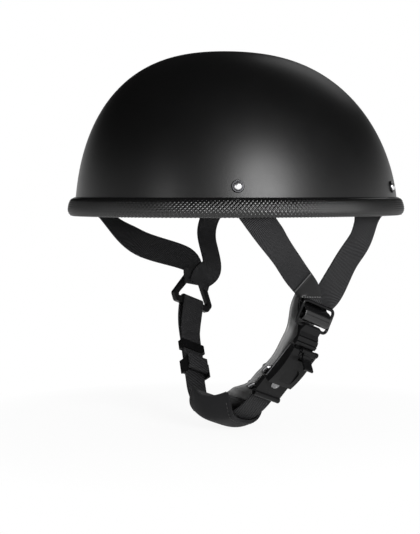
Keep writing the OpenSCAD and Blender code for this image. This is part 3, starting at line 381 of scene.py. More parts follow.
def ribbon(rows, n=10, w=WEB_W, widest=1.3):
    """Place, half width and face of webbing through rows of (place, face, cross line, share of width)."""
    full = [tuple(r) + ((0, 0, 0), 1.0)[len(r) - 2:] for r in rows]
    place, face, line = (smooth([r[k] for r in full], n) for k in range(3))
    share = smooth([[r[3]] for r in full], n)
    along = direction(place, 2)
    square = unit(np.cross(face, along))
    slant = unit(square * np.maximum(0, 1 - np.linalg.norm(line, axis=1, keepdims=True)) + line)
    lean = np.linalg.norm(np.cross(slant, along), axis=1, keepdims=True)
    return place, slant * share * w / 2 * np.minimum(widest, 1 / lean), np.cross(along, square)


def flat_strip(path, w, shift=0.0):
    """Place, half width and face of a strip that lies square across a path on the loop's plane."""
    u = direction(path)
    out = loop_dir(u[:, 1], -u[:, 0], 0)
    return loop_point(path[:, 0], path[:, 1], shift), np.tile(loop_dir(0, 0, w / 2), (len(path), 1)), out


# Node graphs

class Wire:
    """A node's output that takes part in sums, as in 1 - mask * 0.5."""

    def __init__(self, graph, socket):
        self.graph, self.socket = graph, socket


def sum_method(kind, swapped):
    def method(self, other):
        return self.graph.maths(kind, *((other, self) if swapped else (self, other)))
    return method


for sign, kind in (("add", "ADD"), ("sub", "SUBTRACT"), ("mul", "MULTIPLY"), ("truediv", "DIVIDE"),
                   ("pow", "POWER")):
    setattr(Wire, f"__{sign}__", sum_method(kind, False))
    setattr(Wire, f"__r{sign}__", sum_method(kind, True))


class Graph:
    """A node tree whose nodes are made by one method."""

    def __init__(self, tree):
        self.tree = tree
        tree.nodes.clear()

    def node(self, kind, values=(), output=0, **settings):
        """Makes a node and gives the wire of an output, or the node itself where it has none."""
        node = self.tree.nodes.new(kind)
        for key, value in settings.items():
            setattr(node, key, value)
        items = values.items() if isinstance(values, dict) else enumerate(values)
        for key, value in items:
            if isinstance(value, Wire):
                self.tree.links.new(value.socket, node.inputs[key])
            elif value is not None:
                node.inputs[key].default_value = value
        return Wire(self, node.outputs[output]) if len(node.outputs) else node

    def maths(self, operation, *values):
        return self.node("ShaderNodeMath", values, operation=operation)

    def sine(self, value):
        return self.maths("SINE", value)

    def clamp(self, value, low, high):
        return self.maths("MINIMUM", self.maths("MAXIMUM", value, low), high)

    def step(self, value, low, high):
        """0 below low, 1 above high and a smooth rise between."""
        return self.node("ShaderNodeMapRange", [value, low, high, 0.0, 1.0], interpolation_type="SMOOTHSTEP")

    def split(self, vector):
        node = self.node("ShaderNodeSeparateXYZ", [vector])
        return [Wire(self, s) for s in node.socket.node.outputs]

    def smooth(self, geometry):
        return self.node("GeometryNodeSetShadeSmooth", [geometry])

    def join(self, x, y, z):
        return self.node("ShaderNodeCombineXYZ", [x, y, z])


class Finish(Graph):
    """A material: its constants sit on the shader's own sockets and its patterns are added after."""

    def __init__(self, name, colour, **constants):
        self.material = bpy.data.materials.new(name)
        self.material.use_nodes = True
        super().__init__(self.material.node_tree)
        self.shader = self.tree.nodes.new("ShaderNodeBsdfPrincipled")
        self.node("ShaderNodeOutputMaterial", [Wire(self, self.shader.outputs[0])])
        self.colour = tuple(colour)
        self.shader.inputs["Base Color"].default_value = (*colour, 1)
        for key, value in constants.items():
            self.shader.inputs[key.replace("_", " ").title().replace("Ior", "IOR")].default_value = value

    def feed(self, socket, wire):
        self.tree.links.new(wire.socket, self.shader.inputs[socket])

    def coordinates(self, kind="Object"):
        return self.node("ShaderNodeTexCoord", output=kind)

    def noise(self, vector, size, detail=2.0, rough=0.5, stretch=None):
        """Noise from 0 to 1 with features of a size in millimetres."""
        if stretch:
            vector = self.node("ShaderNodeVectorMath", [vector, stretch], operation="MULTIPLY")
        return self.node("ShaderNodeTexNoise", {
            "Vector": vector, "Scale": 1 / (size * MM), "Detail": detail, "Roughness": rough})

    def tint(self, mask, dark, light):
        """Base colour between two multiples of the finish's own colour."""
        a, b = (tuple(min(1, c * k) for c in self.colour) + (1,) for k in (dark, light))
        self.feed("Base Color", self.node("ShaderNodeMix", {0: mask, 6: a, 7: b}, 2, data_type="RGBA"))

    def bump(self, height, depth):
        """Relief of a depth in millimetres."""
        self.feed("Normal", self.node("ShaderNodeBump", {
            "Height": height, "Distance": depth * MM, "Strength": 1.0}))


def bake(obj, **options):
    """Gives an object the mesh that its modifiers make."""
    depsgraph = bpy.context.evaluated_depsgraph_get()
    obj.data = bpy.data.meshes.new_from_object(obj.evaluated_get(depsgraph), depsgraph=depsgraph, **options)
    obj.modifiers.clear()


def coordinates(mesh):
    points = np.zeros(len(mesh.vertices) * 3)
    mesh.vertices.foreach_get("co", points)
    return points.reshape(-1, 3)


def plump(obj, seam):
    """Fills a pad by a short cloth run with its seam held and every point's move limited."""
    scene = bpy.context.scene
    remesh = obj.modifiers.new("Even faces", "REMESH")
    remesh.mode, remesh.voxel_size = "VOXEL", VOXEL * MM
    bake(obj)
    start = coordinates(obj.data)
    near = np.array([np.linalg.norm(seam * MM - q, axis=1).min() for q in start])
    held = obj.vertex_groups.new(name="Seam")
    held.add(np.flatnonzero(near < SEAM_REACH * MM).tolist(), 1.0, "REPLACE")
    cloth = obj.modifiers.new("Cloth", "CLOTH")
    cloth.settings.vertex_group_mass = held.name
    cloth.settings.use_pressure, cloth.settings.uniform_pressure_force = True, CLOTH_PRESSURE
    cloth.settings.effector_weights.gravity = 0
    for step in range(CLOTH_FRAMES):
        scene.frame_set(step + 1)
    filled = coordinates(obj.evaluated_get(bpy.context.evaluated_depsgraph_get()).data)
    move = filled - start
    size = np.maximum(np.linalg.norm(move, axis=1, keepdims=True), 1e-9)
    obj.modifiers.remove(cloth)
    obj.data.vertices.foreach_set("co", (start + move * np.minimum(1, PAD_MOVE * MM / size)).ravel())
    obj.modifiers.new("Smooth", "SUBSURF").levels = 1
    bake(obj)
    obj.data.shade_smooth()
    scene.frame_set(1)


def run_tree(name, tree, mesh, values):
    """Makes a plain mesh object from a geometry tree on a source mesh."""
    obj = new_object(name, mesh)
    modifier = obj.modifiers.new("Build", "NODES")
    modifier.node_group = tree
    for item in tree.interface.items_tree:
        if item.item_type == "SOCKET" and item.in_out == "INPUT" and item.name in values:
            modifier[item.identifier] = values[item.name]
    bake(obj, preserve_all_data_layers=True)
    obj.data.name = name
    return obj


def geometry_graph(name, inputs):
    """A geometry tree with named inputs, and the wires that come out of them."""
    tree = bpy.data.node_groups.new(name, "GeometryNodeTree")
    graph = Graph(tree)
    tree.interface.new_socket("Geometry", in_out="INPUT", socket_type="NodeSocketGeometry")
    for label, value in inputs.items():
        kind = {float: "Float", int: "Int"}.get(type(value), "Material")
        socket = tree.interface.new_socket(label, in_out="INPUT", socket_type="NodeSocket" + kind)
        if value is not None:
            socket.default_value = value
    tree.interface.new_socket("Geometry", in_out="OUTPUT", socket_type="NodeSocketGeometry")
    entry = tree.nodes.new("NodeGroupInput")
    return graph, {s.name: Wire(graph, s) for s in entry.outputs if s.name}


def emboss_tree():
    """Diamonds raised along a face; each point carries its place in diamonds and its share of the relief."""
    g, inp = geometry_graph("Embossed diamonds", {"Depth": 0.0003, "Rubber": None})
    x, y, share = (g.node("GeometryNodeInputNamedAttribute", {"Name": key}, data_type="FLOAT")
                   for key in ("Along", "Girth", "Emboss"))
    ridges = [g.maths("ABSOLUTE", g.sine(v * pi)) for v in (x + y, x - y)]
    height = ridges[0] * ridges[1] * share * inp["Depth"]
    offset = g.node("ShaderNodeVectorMath", {"Vector": g.node("GeometryNodeInputNormal"), "Scale": height},
                    operation="SCALE")
    raised = g.node("GeometryNodeSetPosition", {"Geometry": inp["Geometry"], "Offset": offset})
    return close_tree(g, raised, inp["Rubber"])


def stitch_tree():
    """Short threads at even steps along lines."""
    g, inp = geometry_graph("Stitches", {"Pitch": 0.0026, "Length": 0.002, "Thickness": 0.0005, "Thread": None})
    line = g.node("GeometryNodeMeshToCurve", [inp["Geometry"]])
    even = g.node("GeometryNodeResampleCurve", {"Curve": line, "Length": inp["Pitch"]}, mode="LENGTH")
    bead = g.smooth(g.node("GeometryNodeMeshUVSphere", [6, 5, 0.5]))
    turn = g.node("FunctionNodeAlignRotationToVector", {"Vector": g.node("GeometryNodeInputTangent")}, axis="Z")
    sewn = g.node("GeometryNodeInstanceOnPoints", {
        "Points": even, "Instance": bead, "Rotation": turn,
        "Scale": g.join(inp["Thickness"], inp["Thickness"], inp["Length"])})
    return close_tree(g, sewn, inp["Thread"])


def piping_tree():
    """A round cord along lines."""
    g, inp = geometry_graph("Piping", {"Radius": 0.0012, "Cloth": None})
    ring = g.node("GeometryNodeCurvePrimitiveCircle", {"Resolution": 8, "Radius": inp["Radius"]})
    line = g.node("GeometryNodeMeshToCurve", [inp["Geometry"]])
    solid = g.node("GeometryNodeCurveToMesh", {"Curve": line, "Profile Curve": ring, "Fill Caps": True})
    return close_tree(g, g.smooth(solid), inp["Cloth"])


SHARED = {}


def along_lines(name, maker, lines, values, closed=False):
    """Runs a tree on lines of points in millimetres; the tree is made once and shared."""
    key = maker.__name__
    if key not in SHARED:
        SHARED[key] = maker().name
    mesh = bpy.data.meshes.new(name)
    points, edges = [], []
    for line in lines:
        first, n = len(points), len(line)
        points += (np.asarray(line, float) * MM).tolist()
        edges += [(first + k, first + (k + 1) % n) for k in range(n if closed else n - 1)]
    mesh.from_pydata(points, edges, [])
    return run_tree(name, bpy.data.node_groups[SHARED[key]], mesh, values)


def close_tree(graph, geometry, material):
    realized = graph.node("GeometryNodeRealizeInstances", [geometry])
    painted = graph.node("GeometryNodeSetMaterial", {"Geometry": realized, "Material": material})
    graph.node("NodeGroupOutput", [painted])
    return graph.tree


# Finishes

def worn_finish(name, colour, gloss, fine, broad, spread, depth, tints=None, **constants):
    """Fine grain in the relief and broad wear in the colour; spread is how far each moves the gloss."""
    f = Finish(name, colour, roughness=gloss, **constants)
    at = f.coordinates()
    grain, wear = f.noise(at, *fine), f.noise(at, *broad)
    if tints:
        f.tint(wear, *tints)
    f.feed("Roughness", gloss + (wear - 0.5) * spread[0] + (grain - 0.5) * spread[1])
    f.bump(grain, depth)
    return f.material


def shell_finish(p):
    return worn_finish("Satin black shell", p.shell_colour, p.shell_gloss, (2.2, 2, 0.4), (34, 3, 0.6),
                       (0.1, 0.04), 0.012, specular_ior_level=0.38)


def plastic_finish(p, name="Moulded plastic", gloss=0.3):
    return worn_finish(name, p.plastic_colour, gloss, (0.5, 3, 0.6), (7, 4, 0.7), (0.16, 0.05), 0.012,
                       (0.8, 1.3), specular_ior_level=0.14)


def metal_finish(name, colour, gloss, brushed=0.0):
    fine = (0.35, 3, 0.6, (1, 1, 0.08)) if brushed else (1.4, 4, 0.6)
    return worn_finish(name, colour, gloss, fine, (5, 3, 0.6), (0.08, 0.12 + brushed),
                       0.004 + brushed * 0.03, (0.8, 1.05), metallic=1.0)


def trim_finish(p):
    f = Finish("Embossed rubber", p.rubber_colour, roughness=0.22, specular_ior_level=0.5)
    grain = f.noise(f.coordinates(), 0.7, 3, 0.6)
    f.feed("Roughness", 0.15 + grain * 0.16)
    f.bump(grain, 0.03)
    return f.material


def webbing_finish(p):
    gloss = 0.55
    f = Finish("Ribbed webbing", p.webbing_colour, roughness=gloss, specular_ior_level=0.1)
    u, v, _ = f.split(f.coordinates("UV"))
    rib, yarn = (f.sine(way * (2 * pi / pitch)) * 0.5 + 0.5
                 for way, pitch in ((v + u * 0.62, p.rib_pitch), (u, p.rib_pitch * 0.8)))
    fuzz = f.noise(f.coordinates(), 1.1, 3, 0.6)
    height = rib * (yarn * 0.35 + 0.65) + fuzz * 0.25
    # Painted light: the rib tops are painted lighter as a painted highlight and the grooves nearly black as
    # painted shade; the fuzz noise adds random tone.
    f.tint(f.step(height, 0.1, 0.9), 0.05, 2.4)
    f.feed("Roughness", gloss + (fuzz - 0.5) * 0.2)
    f.bump(height, p.rib_depth / MM)
    return f.material


def cloth_finish(name, colour, thread, gloss=0.85, depth=0.12, sheen=0.12, shine=0.25):
    """Plain cloth seen on three planes, so that it needs no map."""
    f = Finish(name, colour, roughness=gloss, sheen_weight=sheen, sheen_roughness=0.5,
               specular_ior_level=shine)
    at = f.coordinates()
    x, y, z = f.split(at)
    k = 2 * pi / (thread * MM)
    weave = (f.sine(x * k + y * (k * 0.31)) * f.sine(y * k - x * (k * 0.31)) + f.sine(z * k)) * 0.25 + 0.5
    fuzz = f.noise(at, thread * 1.6, 3, 0.6)
    worn = f.noise(at, 26, 3, 0.6)
    f.tint(f.clamp(weave * 0.5 + fuzz * 0.3 + worn * 0.4 - 0.1, 0, 1), 0.55, 1.6)
    f.bump(weave + fuzz * 0.6, depth)
    return f.material


def thread_values(name, grey, pitch=2.8, length=2.1, thick=0.55):
    """Inputs of the stitch tree for thread of a grey level."""
    thread = Finish(name, (grey, grey, grey), roughness=0.6)
    return {"Pitch": pitch * MM, "Length": length * MM, "Thickness": thick * MM, "Thread": thread.material}


def flap_finish(p):
    # The base colour is a painted reflection: light grey in place of black vinyl that reflects white
    # surroundings; the crease noise varies it at random.
    f = Finish("Smooth vinyl", p.flap_colour_with_reflection, roughness=0.36, sheen_weight=0.1)
    at = f.coordinates()
    grain = f.noise(at, 0.9, 4, 0.6)
    crease = f.noise(at, 9, 3, 0.6)
    f.tint(crease, 0.75, 1.3)
    f.feed("Roughness", 0.3 + crease * 0.16)
    f.bump(grain + crease * 2, 0.05)
    return f.material


def foam_finish(p):
    f = Finish("Expanded foam", p.foam_colour, roughness=0.8)
    at = f.coordinates()
    cell = f.node("ShaderNodeTexVoronoi", {"Vector": at, "Scale": 1 / (2.6 * MM)}, feature="DISTANCE_TO_EDGE")
    edge = f.step(cell, 0.02, 0.16)
    f.tint(edge, 0.7, 1.2)
    f.bump(edge, 0.12)
    return f.material


# Settings that a user would change

def colour_setting(name, about, *colour):
    return FloatVectorProperty(name=name, description=about, subtype="COLOR", default=colour, min=0, max=1)


def length_setting(name, about, value, low, high):
    return FloatProperty(name=name, description=about, default=value, min=low, max=high, unit="LENGTH")


class HelmetShellSettings(bpy.types.PropertyGroup):
    shell_colour: colour_setting("Shell colour", "Paint of the shell", 0.0018, 0.0018, 0.0019)
    shell_gloss: FloatProperty(name="Shell roughness", description="Roughness of the satin paint",
                               default=0.4, min=0.1, max=0.9, subtype="FACTOR")
    rubber_colour: colour_setting("Rim colour", "Rubber of the rim", 0.004, 0.004, 0.004)
    weave_pitch: length_setting("Emboss pitch", "Length of one embossed diamond", 0.0031, 0.0026, 0.006)
    weave_depth: length_setting("Emboss depth", "Height of the embossed diamonds", 0.00095, 0, 0.0012)
    segments: IntProperty(name="Segments", description="Points round the shell", default=192, min=48, max=256)


class HelmetSoftSettings(bpy.types.PropertyGroup):
    webbing_colour: colour_setting("Webbing colour", "Nylon of the straps", 0.014, 0.014, 0.0147)
    tape_colour: colour_setting("Tape colour", "Smooth tape at the ring", 0.0035, 0.0035, 0.0037)
    rib_pitch: length_setting("Rib pitch", "Distance between the slanted ribs", 0.0014, 0.0008, 0.003)
    rib_depth: length_setting("Rib depth", "Height of the webbing's ribs", 0.0004, 0, 0.001)
    pad_colour: colour_setting("Pad colour", "Brushed cloth of the pads", 0.008, 0.008, 0.0088)
    foam_colour: colour_setting("Liner colour", "Foam of the liner", 0.03, 0.03, 0.033)
    # Painted reflection: the flap's colour is far lighter than its black vinyl, standing in for white
    # surroundings reflected in its gloss.
    flap_colour_with_reflection: colour_setting("Flap colour", "Vinyl behind the buckle", 0.13, 0.13, 0.13)


class HelmetHardwareSettings(bpy.types.PropertyGroup):
    plastic_colour: colour_setting("Buckle colour", "Plastic of the buckle", 0.004, 0.004, 0.0042)
    edge_radius: length_setting("Edge radius", "Rounding of moulded edges", 0.0003, 0, 0.001)


class HelmetStageSettings(bpy.types.PropertyGroup):
    key_power: FloatProperty(name="Key light", description="Power of the large front light", default=17.0,
                             min=0, unit="POWER")
    ambient: FloatProperty(name="Ambient", description="Level of the studio's own light", default=0.55, min=0)


# Operators

def dress(piece, finish=None, body=None, node=None):
    """Gives a piece its finish and body, the solid it stands for and its fill."""
    if finish:
        piece.data.materials.append(finish)
    if body:
        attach(piece, body)
    if node:
        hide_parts(node)


class Builder:
    """Runs build with the settings that the operator names."""
    settings = "helmet_soft"

    def execute(self, context):
        self.build(getattr(context.scene, self.settings))
        return {"FINISHED"}


class HELMET_OT_shell(Builder, bpy.types.Operator):
    """Builds the shell and its embossed rubber rim"""
    bl_idname = "helmet.shell"
    bl_label = "Shell and rim"
    settings = "helmet_shell"

    def build(self, p):
        self.dome(p)
        self.rim(p)

    def dome(self, p):
        g, inp = geometry_graph("Domed shell", {
            "Length": SHELL_LEN * MM, "Width": SHELL_WID * MM, "Dome height": DOME_H * MM,
            "Widest drop": WIDEST_DROP * MM, "Rim rise": RIM_RISE, "Squareness": DOME_POWER,
            "Crown lean": CROWN_LEAN * MM, "Lowest level": 0.0, "Segments": 192, "Paint": None})
        grid_mesh = g.node("GeometryNodeMeshGrid", {
            "Size X": 1.0, "Size Y": 1.0, "Vertices X": inp["Segments"] + 1, "Vertices Y": 61})
        x, y, _ = g.split(g.node("GeometryNodeInputPosition"))
        phi = (x + 0.5) * (2 * pi)
        low = inp["Lowest level"]
        level = low + (y + 0.5) * (pi / 2 - low)
        s = g.sine(level)
        cos_level = g.maths("MAXIMUM", g.maths("COSINE", level), 0.0)
        w = (cos_level * cos_level / (1 - inp["Rim rise"] * inp["Rim rise"])) ** (1 / inp["Squareness"])
        lean = g.maths("MAXIMUM", s - inp["Rim rise"], 0.0) ** 1.5 * inp["Crown lean"]
        place = g.join(g.sine(phi) * w * inp["Width"] * 0.5,
                       g.maths("COSINE", phi) * w * inp["Length"] * -0.5 - lean,
                       s * inp["Dome height"] - inp["Widest drop"])
        bent = g.node("GeometryNodeSetPosition", {"Geometry": grid_mesh, "Position": place})
        closed = g.node("GeometryNodeMergeByDistance", {"Geometry": bent, "Distance": 1e-5})
        tree = close_tree(g, g.smooth(closed), inp["Paint"])
        shell = run_tree("shell_skin", tree, bpy.data.meshes.new("shell_skin"), {
            "Lowest level": float(dome_level(TRIM_FLOOR)), "Segments": p.segments, "Paint": shell_finish(p)})
        finish_mesh(shell.data)
        wall = shell.modifiers.new("Wall", "SOLIDIFY")
        wall.thickness, wall.offset, wall.use_even_offset = WALL * MM, -1, True
        dress(shell, body="root", node="shell")

    def rim(self, p):
        """A swept rubber edge with rows of diamonds on its outer face."""
        top = TRIM_H - TRIM_BELLY

        def turned(low, high, n, bulge):
            """Places on a bulge from an angle to another; above the belly it is at least a thin film."""
            a = np.radians(np.linspace(low, high, n))
            rise = top if high > 0 else TRIM_BELLY
            return stack(np.maximum(bulge * np.cos(a), 0.12 * (high > 0)), TRIM_BELLY + rise * np.sin(a))

        bulge = np.concatenate([turned(-90, 0, 40, TRIM_BULGE)[:-1], turned(0, 90, 80, TRIM_BULGE)])
        pitch = p.weave_pitch / MM
        reach = distances(bulge)
        rows = round(reach[-1] / pitch * DIAMOND_STEPS)
        at = np.linspace(0, reach[-1], rows + 1)
        outer = stack(*(np.interp(at, reach, bulge[:, k]) for k in (0, 1)))
        inner = np.concatenate([turned(0, 90, 7, TRIM_IN)[::-1], turned(-90, 0, 5, TRIM_IN)[-2::-1]])
        inner = stack(-WALL - inner[:, 0], inner[:, 1])
        section = np.vstack([outer, inner])
        coarse = np.linspace(0, 360, 1441)
        run = distances(wall_point(coarse, TRIM_BELLY, 0 * coarse) + rim_normal(coarse) * TRIM_BULGE)
        count = round(run[-1] / pitch)
        phi = np.interp(np.linspace(0, run[-1], DIAMOND_STEPS * count + 1), run, coarse)
        rings = wall_point(phi[:, None], section[None, :, 1], np.zeros((1, len(section)))) \
            + rim_normal(phi)[:, None] * section[None, :, :1]
        k = np.arange(len(section))
        share = np.where(k <= rows, np.clip(np.minimum(k - 1, rows - 4 - k) / 4, 0, 1), 0)
        marks = [np.broadcast_to(v, rings.shape[:2])
                 for v in (np.arange(len(phi))[:, None] / DIAMOND_STEPS, k / DIAMOND_STEPS, share)]
        source = tube_object("rim_source", rings, caps=False, sharp=60,
                             marks=dict(zip(("Along", "Girth", "Emboss"), marks)))
        rim = run_tree("rim_trim", emboss_tree(), source.data, {
            "Depth": p.weave_depth, "Rubber": trim_finish(p)})
        bpy.data.objects.remove(source)
        dress(rim, body="root", node="edge_trim")


class HELMET_OT_padding(Builder, bpy.types.Operator):
    """Builds the foam liner, the sweatband pads and the crown pad"""
    bl_idname = "helmet.padding"
    bl_label = "Liner and pads"

    def build(self, p):
        self.liner(p)
        cloth = cloth_finish("Brushed pad cloth", p.pad_colour, 0.9)
        for name, start in (("front_pad", -42), ("left_pad", 48), ("rear_pad", 138), ("right_pad", 228)):
            self.band_pad(name, start, start + 84, cloth)
        self.crown_pad(cloth)

    def liner(self, p):
        liner = new_object("liner_foam", NODES["foam_liner"].data.copy())
        finish_mesh(liner.data, 35, recalc=False)
        liner.data.materials.clear()
        dress(liner, foam_finish(p), "root", "foam_liner")

    def band_pad(self, name, phi_0, phi_1, cloth):
        u, v = grid((0, 1, 45), (0, 1, 11))
        draw = 0.06 * BAND_H * (1 - (2 * u - 1) ** 2)
        z = mix(BAND_Z + draw, BAND_Z + BAND_H - draw, v)
        full = np.sqrt(np.maximum(0, (1 - abs(2 * u - 1) ** 6) * (1 - abs(2 * v - 1) ** 3)))
        phi = mix(phi_0, phi_1, u)
        back = wall_point(phi, z, np.full_like(z, PAD_OFF))
        front = wall_point(phi, z, PAD_OFF + PAD_EDGE + (BAND_T - PAD_EDGE) * full)
        self.pad(name, back, front, cloth)

    def crown_pad(self, cloth):
        k, a = grid((1e-3, 1, 11), (0, 2 * pi, 49))
        level = np.arccos(np.minimum(1, (PAD_R * k / (SHELL_WID / 2)) ** (DOME_POWER / 2)
                                     * sqrt(1 - RIM_RISE ** 2)))
        thick = PAD_EDGE + (PAD_T - PAD_EDGE) * np.sqrt(1 - k ** 3)
        back, front = (dome_point(a, level, PAD_OFF + t) for t in (np.zeros_like(k), thick))
        self.pad("crown_pad", back, front, cloth, rounded=True)

    def pad(self, node, back, front, cloth, rounded=False):
        rows, cols = back.shape[:2]
        rim = [(rows - 1) * cols + j for j in range(cols)] if rounded else outline(rows, cols)
        edge = ((back + front) / 2).reshape(-1, 3)[rim[:-1]]
        slim = PAD_START / np.linalg.norm(front - back, axis=-1, keepdims=True)
        pad = slab_object(node + "_cover", mix(back, front, slim * 0.5), mix(front, back, slim), rim)
        plump(pad, edge)
        cord = along_lines(node + "_piping", piping_tree, [edge],
                           {"Radius": PAD_CORD * MM, "Cloth": cloth}, closed=True)
        dress(pad, cloth, "root", node)
        dress(cord, body="root")


class HELMET_OT_straps(Builder, bpy.types.Operator):
    """Builds the four upper straps and the sewn loop round the ring"""
    bl_idname = "helmet.straps"
    bl_label = "Upper straps"

    def build(self, p):
        web = webbing_finish(p)
        for node, rows in strap_routes().items():
            place, across, out = ribbon(rows)
            strap = strip_object(node + "_webbing", place, across, out, WEB_T)
            extra = self.fold(p, place, across, out) if node == "left_front_strap" else []
            for piece in (strap, *extra):
                if node.startswith("left"):
                    place_at(place, -4)
                    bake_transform(piece)
                else:
                    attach(piece, "root")
            dress(strap, web, node=node)
        self.loop(p)

    def fold(self, p, place, across, out):
        """The strap's turned end, sewn on its face down to the bar, with a slanting crease."""
        run = distances(place)

        def on_face(x, back, lift):
            x, at, lift = np.broadcast_arrays(x, run[-1] - back, lift)
            base, wide, face = (stack(*(np.interp(at, run, part[:, k]) for k in range(3)))
                                for part in (place, across, out))
            return base + wide * x[..., None] + face * lift[..., None]

        face_at = WEB_T / 2
        x, t = grid((-0.96, 0.96, 17), (0, 1, 25))
        back = mix(19.3 + 0.9 * x, 2.4, t)
        swell = (1 - t ** 8) * (1 - abs(x) ** 6) * (0.75 + 0.7 * np.exp(-((t - 0.03) / 0.07) ** 2))
        low, high = on_face(x, back, face_at - 0.5), on_face(x, back, face_at + 0.1 + swell)
        tape = slab_object("strap_fold", low, high, sharp=60)
        tape.data.materials.append(cloth_finish("Folded tape", p.tape_colour, 0.6, 0.4, 0.04, 0))
        edge = np.linspace(-0.97, 0.97, 17)
        crease = along_lines("fold_crease", piping_tree, [on_face(edge, 19.3 + 0.9 * edge, face_at + 0.9)], {
            "Radius": 0.7 * MM, "Cloth": cloth_finish("Crease", p.webbing_colour, 0.6, 0.3, 0.03, 0, 1.0)})
        row = on_face(np.linspace(-0.8, 0.8, 9), 3.6, face_at + 0.95)
        sewn = along_lines("fold_stitches", stitch_tree, [row], thread_values("Pale thread", 0.16, 2.4, 1.9))
        return [tape, crease, sewn]

    def loop(self, p):
        leg_1 = layer(2) - 1
        leg_2 = leg_1 - WEB_T - LAYER_GAP
        wrap = RING_WIRE + SOFT_GAP + 0.15 + WEB_T / 2 + LOOP_SLACK
        top = RING_H / 2 + 2.2
        path = [(leg_1, top), (leg_1, RING_H / 2 + 0.2), (layer(1) - 0.5, RING_H / 2 - 2.8),
                (-0.2, RING_H / 2 - 4.4), (2.7, RING_MID + 4.1)]
        path += list(arc((0, RING_MID), wrap, radians(30), radians(-155), 8))
        path += [(leg_1, RING_MID + 4.5), (leg_2, RING_H / 2 - 1), (leg_2, RING_H / 2 + 1), (leg_2, top)]
        flat = np.array([from_ring(*q) for q in smooth(path, 5)])
        loop = strip_object("strap_loop_webbing", *flat_strip(flat, RING_W - 2.5, RING_SHIFT), WEB_T)
        tape = cloth_finish("Glossy tape", p.tape_colour, 0.6, 0.24, 0.03, 0, 0.5)
        dress(loop, tape, "tongue", "left_strap_loop")


class HELMET_OT_chin(Builder, bpy.types.Operator):
    """Builds the chin webbing with its turns round the yoke and the slider"""
    bl_idname = "helmet.chin"
    bl_label = "Chin webbing"

    def build(self, p):
        yoke_in = YOKE_T / 2 + 0.15 + WEB_T / 2
        mirror = np.array([-1, 1])
        start = [from_run(0, y) for y in np.linspace(ANCHOR_Y + 4, 1, 8)]
        chin = arc(CHIN_C, CHIN_R, CHIN_END - pi / 2, -CHIN_END - pi / 2, 60)
        run = [from_run(0, y) * mirror for y in np.linspace(3, 51, 14)]
        wrap = [from_yoke(*q) * mirror for q in arc((-yoke_in, YOKE_BAR - 0.5), yoke_in, 0, pi, 14)]
        inner = smooth([from_yoke(-2 * yoke_in, -3), from_run(INNER_X - 1.6, 58), from_run(INNER_X, 49),
                        from_run(INNER_X, SLIDER_Y + 7)], 8) * mirror
        turn = [from_run(*q) * mirror
                for q in arc((SLIDER_X, SLIDER_Y), INNER_X - SLIDER_X, 0, -pi, 12)]
        tail = [from_run(2 * SLIDER_X - INNER_X, SLIDER_Y + 10) * mirror]
        path = np.vstack([start, chin, run, CLIMB_PATH * mirror, wrap, inner, turn, tail])
        strap = strip_object("chin_webbing", *flat_strip(path, WEB_W), WEB_T)
        dress(strap, webbing_finish(p), "root", "chin_strap")


class HELMET_OT_cup(Builder, bpy.types.Operator):
    """Builds the chin cup's woven cover and its padded lining"""
    bl_idname = "helmet.cup"
    bl_label = "Chin cup"

    def build(self, p):
        cup_in = CHIN_R - CUP_DEEP
        skin_in = CHIN_R + WEB_T / 2 + SOFT_GAP + 1.2
        edge = cup_in - LINING_T - 1

        def skin_at(q):
            low = edge + np.where(q < 0, 4.0, 0.0)
            return low + (skin_in - low) * (1 - abs(q) ** 5)

        def lining_at(q):
            return np.minimum(cup_in - 0.6 * q * q, skin_at(q) - SOFT_GAP)

        skin = cloth_finish("Cup cover cloth", p.pad_colour, 0.8, 0.8, 0.12, 0.04, 0.15)
        self.sheet("cup_cover", "chin_cup", skin_at, lambda q: skin_at(q) + CUP_WALL, skin, "cup_skin", 0.4)
        self.hem(lambda q: skin_at(q) + CUP_WALL, skin, thread_values("Dark thread", 0.03))
        self.sheet("cup_pad", "cup_lining",
                   lambda q: lining_at(q) - LINING_T * (0.25 + 0.75 * np.sqrt(1 - abs(q) ** 3)), lining_at,
                   cloth_finish("Cup lining knit", p.pad_colour, 1.1), "cup_lining", 0.6, LINING_HALF, 1)

    def place(self, r, u, v, half, mid):
        """A point of the cup: u along the strap and v across it, both from -1 to 1."""
        a = -pi / 2 + half * u * mix(mid, 1, v * v)
        q = CUP_W / 2 * v * (1 - 0.14 * u * u)
        return loop_point(r * np.cos(a), CHIN_C[1] + r * np.sin(a), q)

    def sheet(self, name, node, r_in, r_out, cloth, slot, fill, half=CUP_HALF, mid=CUP_MID):
        u, v = grid((-1, 1, 43), (-1, 1, 31))
        piece = slab_object(name, *(self.place(r, u, v, half, mid) for r in (r_in(v), r_out(v))))
        dress(piece, cloth, "cup", node)

    def hem(self, outer, cloth, thread):
        """A folded band and a row of stitches along each mouth of the cover."""
        v = np.linspace(-1, 1, 61)
        for side in (-1, 1):
            line, inward, lifted = (self.place(outer(v) + lift, side * (1 - share), v, CUP_HALF, CUP_MID)
                                    for share, lift in ((0.055, 0.1), (0.11, 0.1), (0.055, 1.1)))
            band = strip_object("cup_hem", line, unit(inward - line) * 1.5, unit(lifted - line), 0.9)
            row = self.place(outer(v[3:-3]) + 0.3, side * 0.86, v[3:-3], CUP_HALF, CUP_MID)
            sewn = along_lines("cup_stitches", stitch_tree, [row], thread)
            dress(band, cloth, "cup")
            dress(sewn, body="cup")


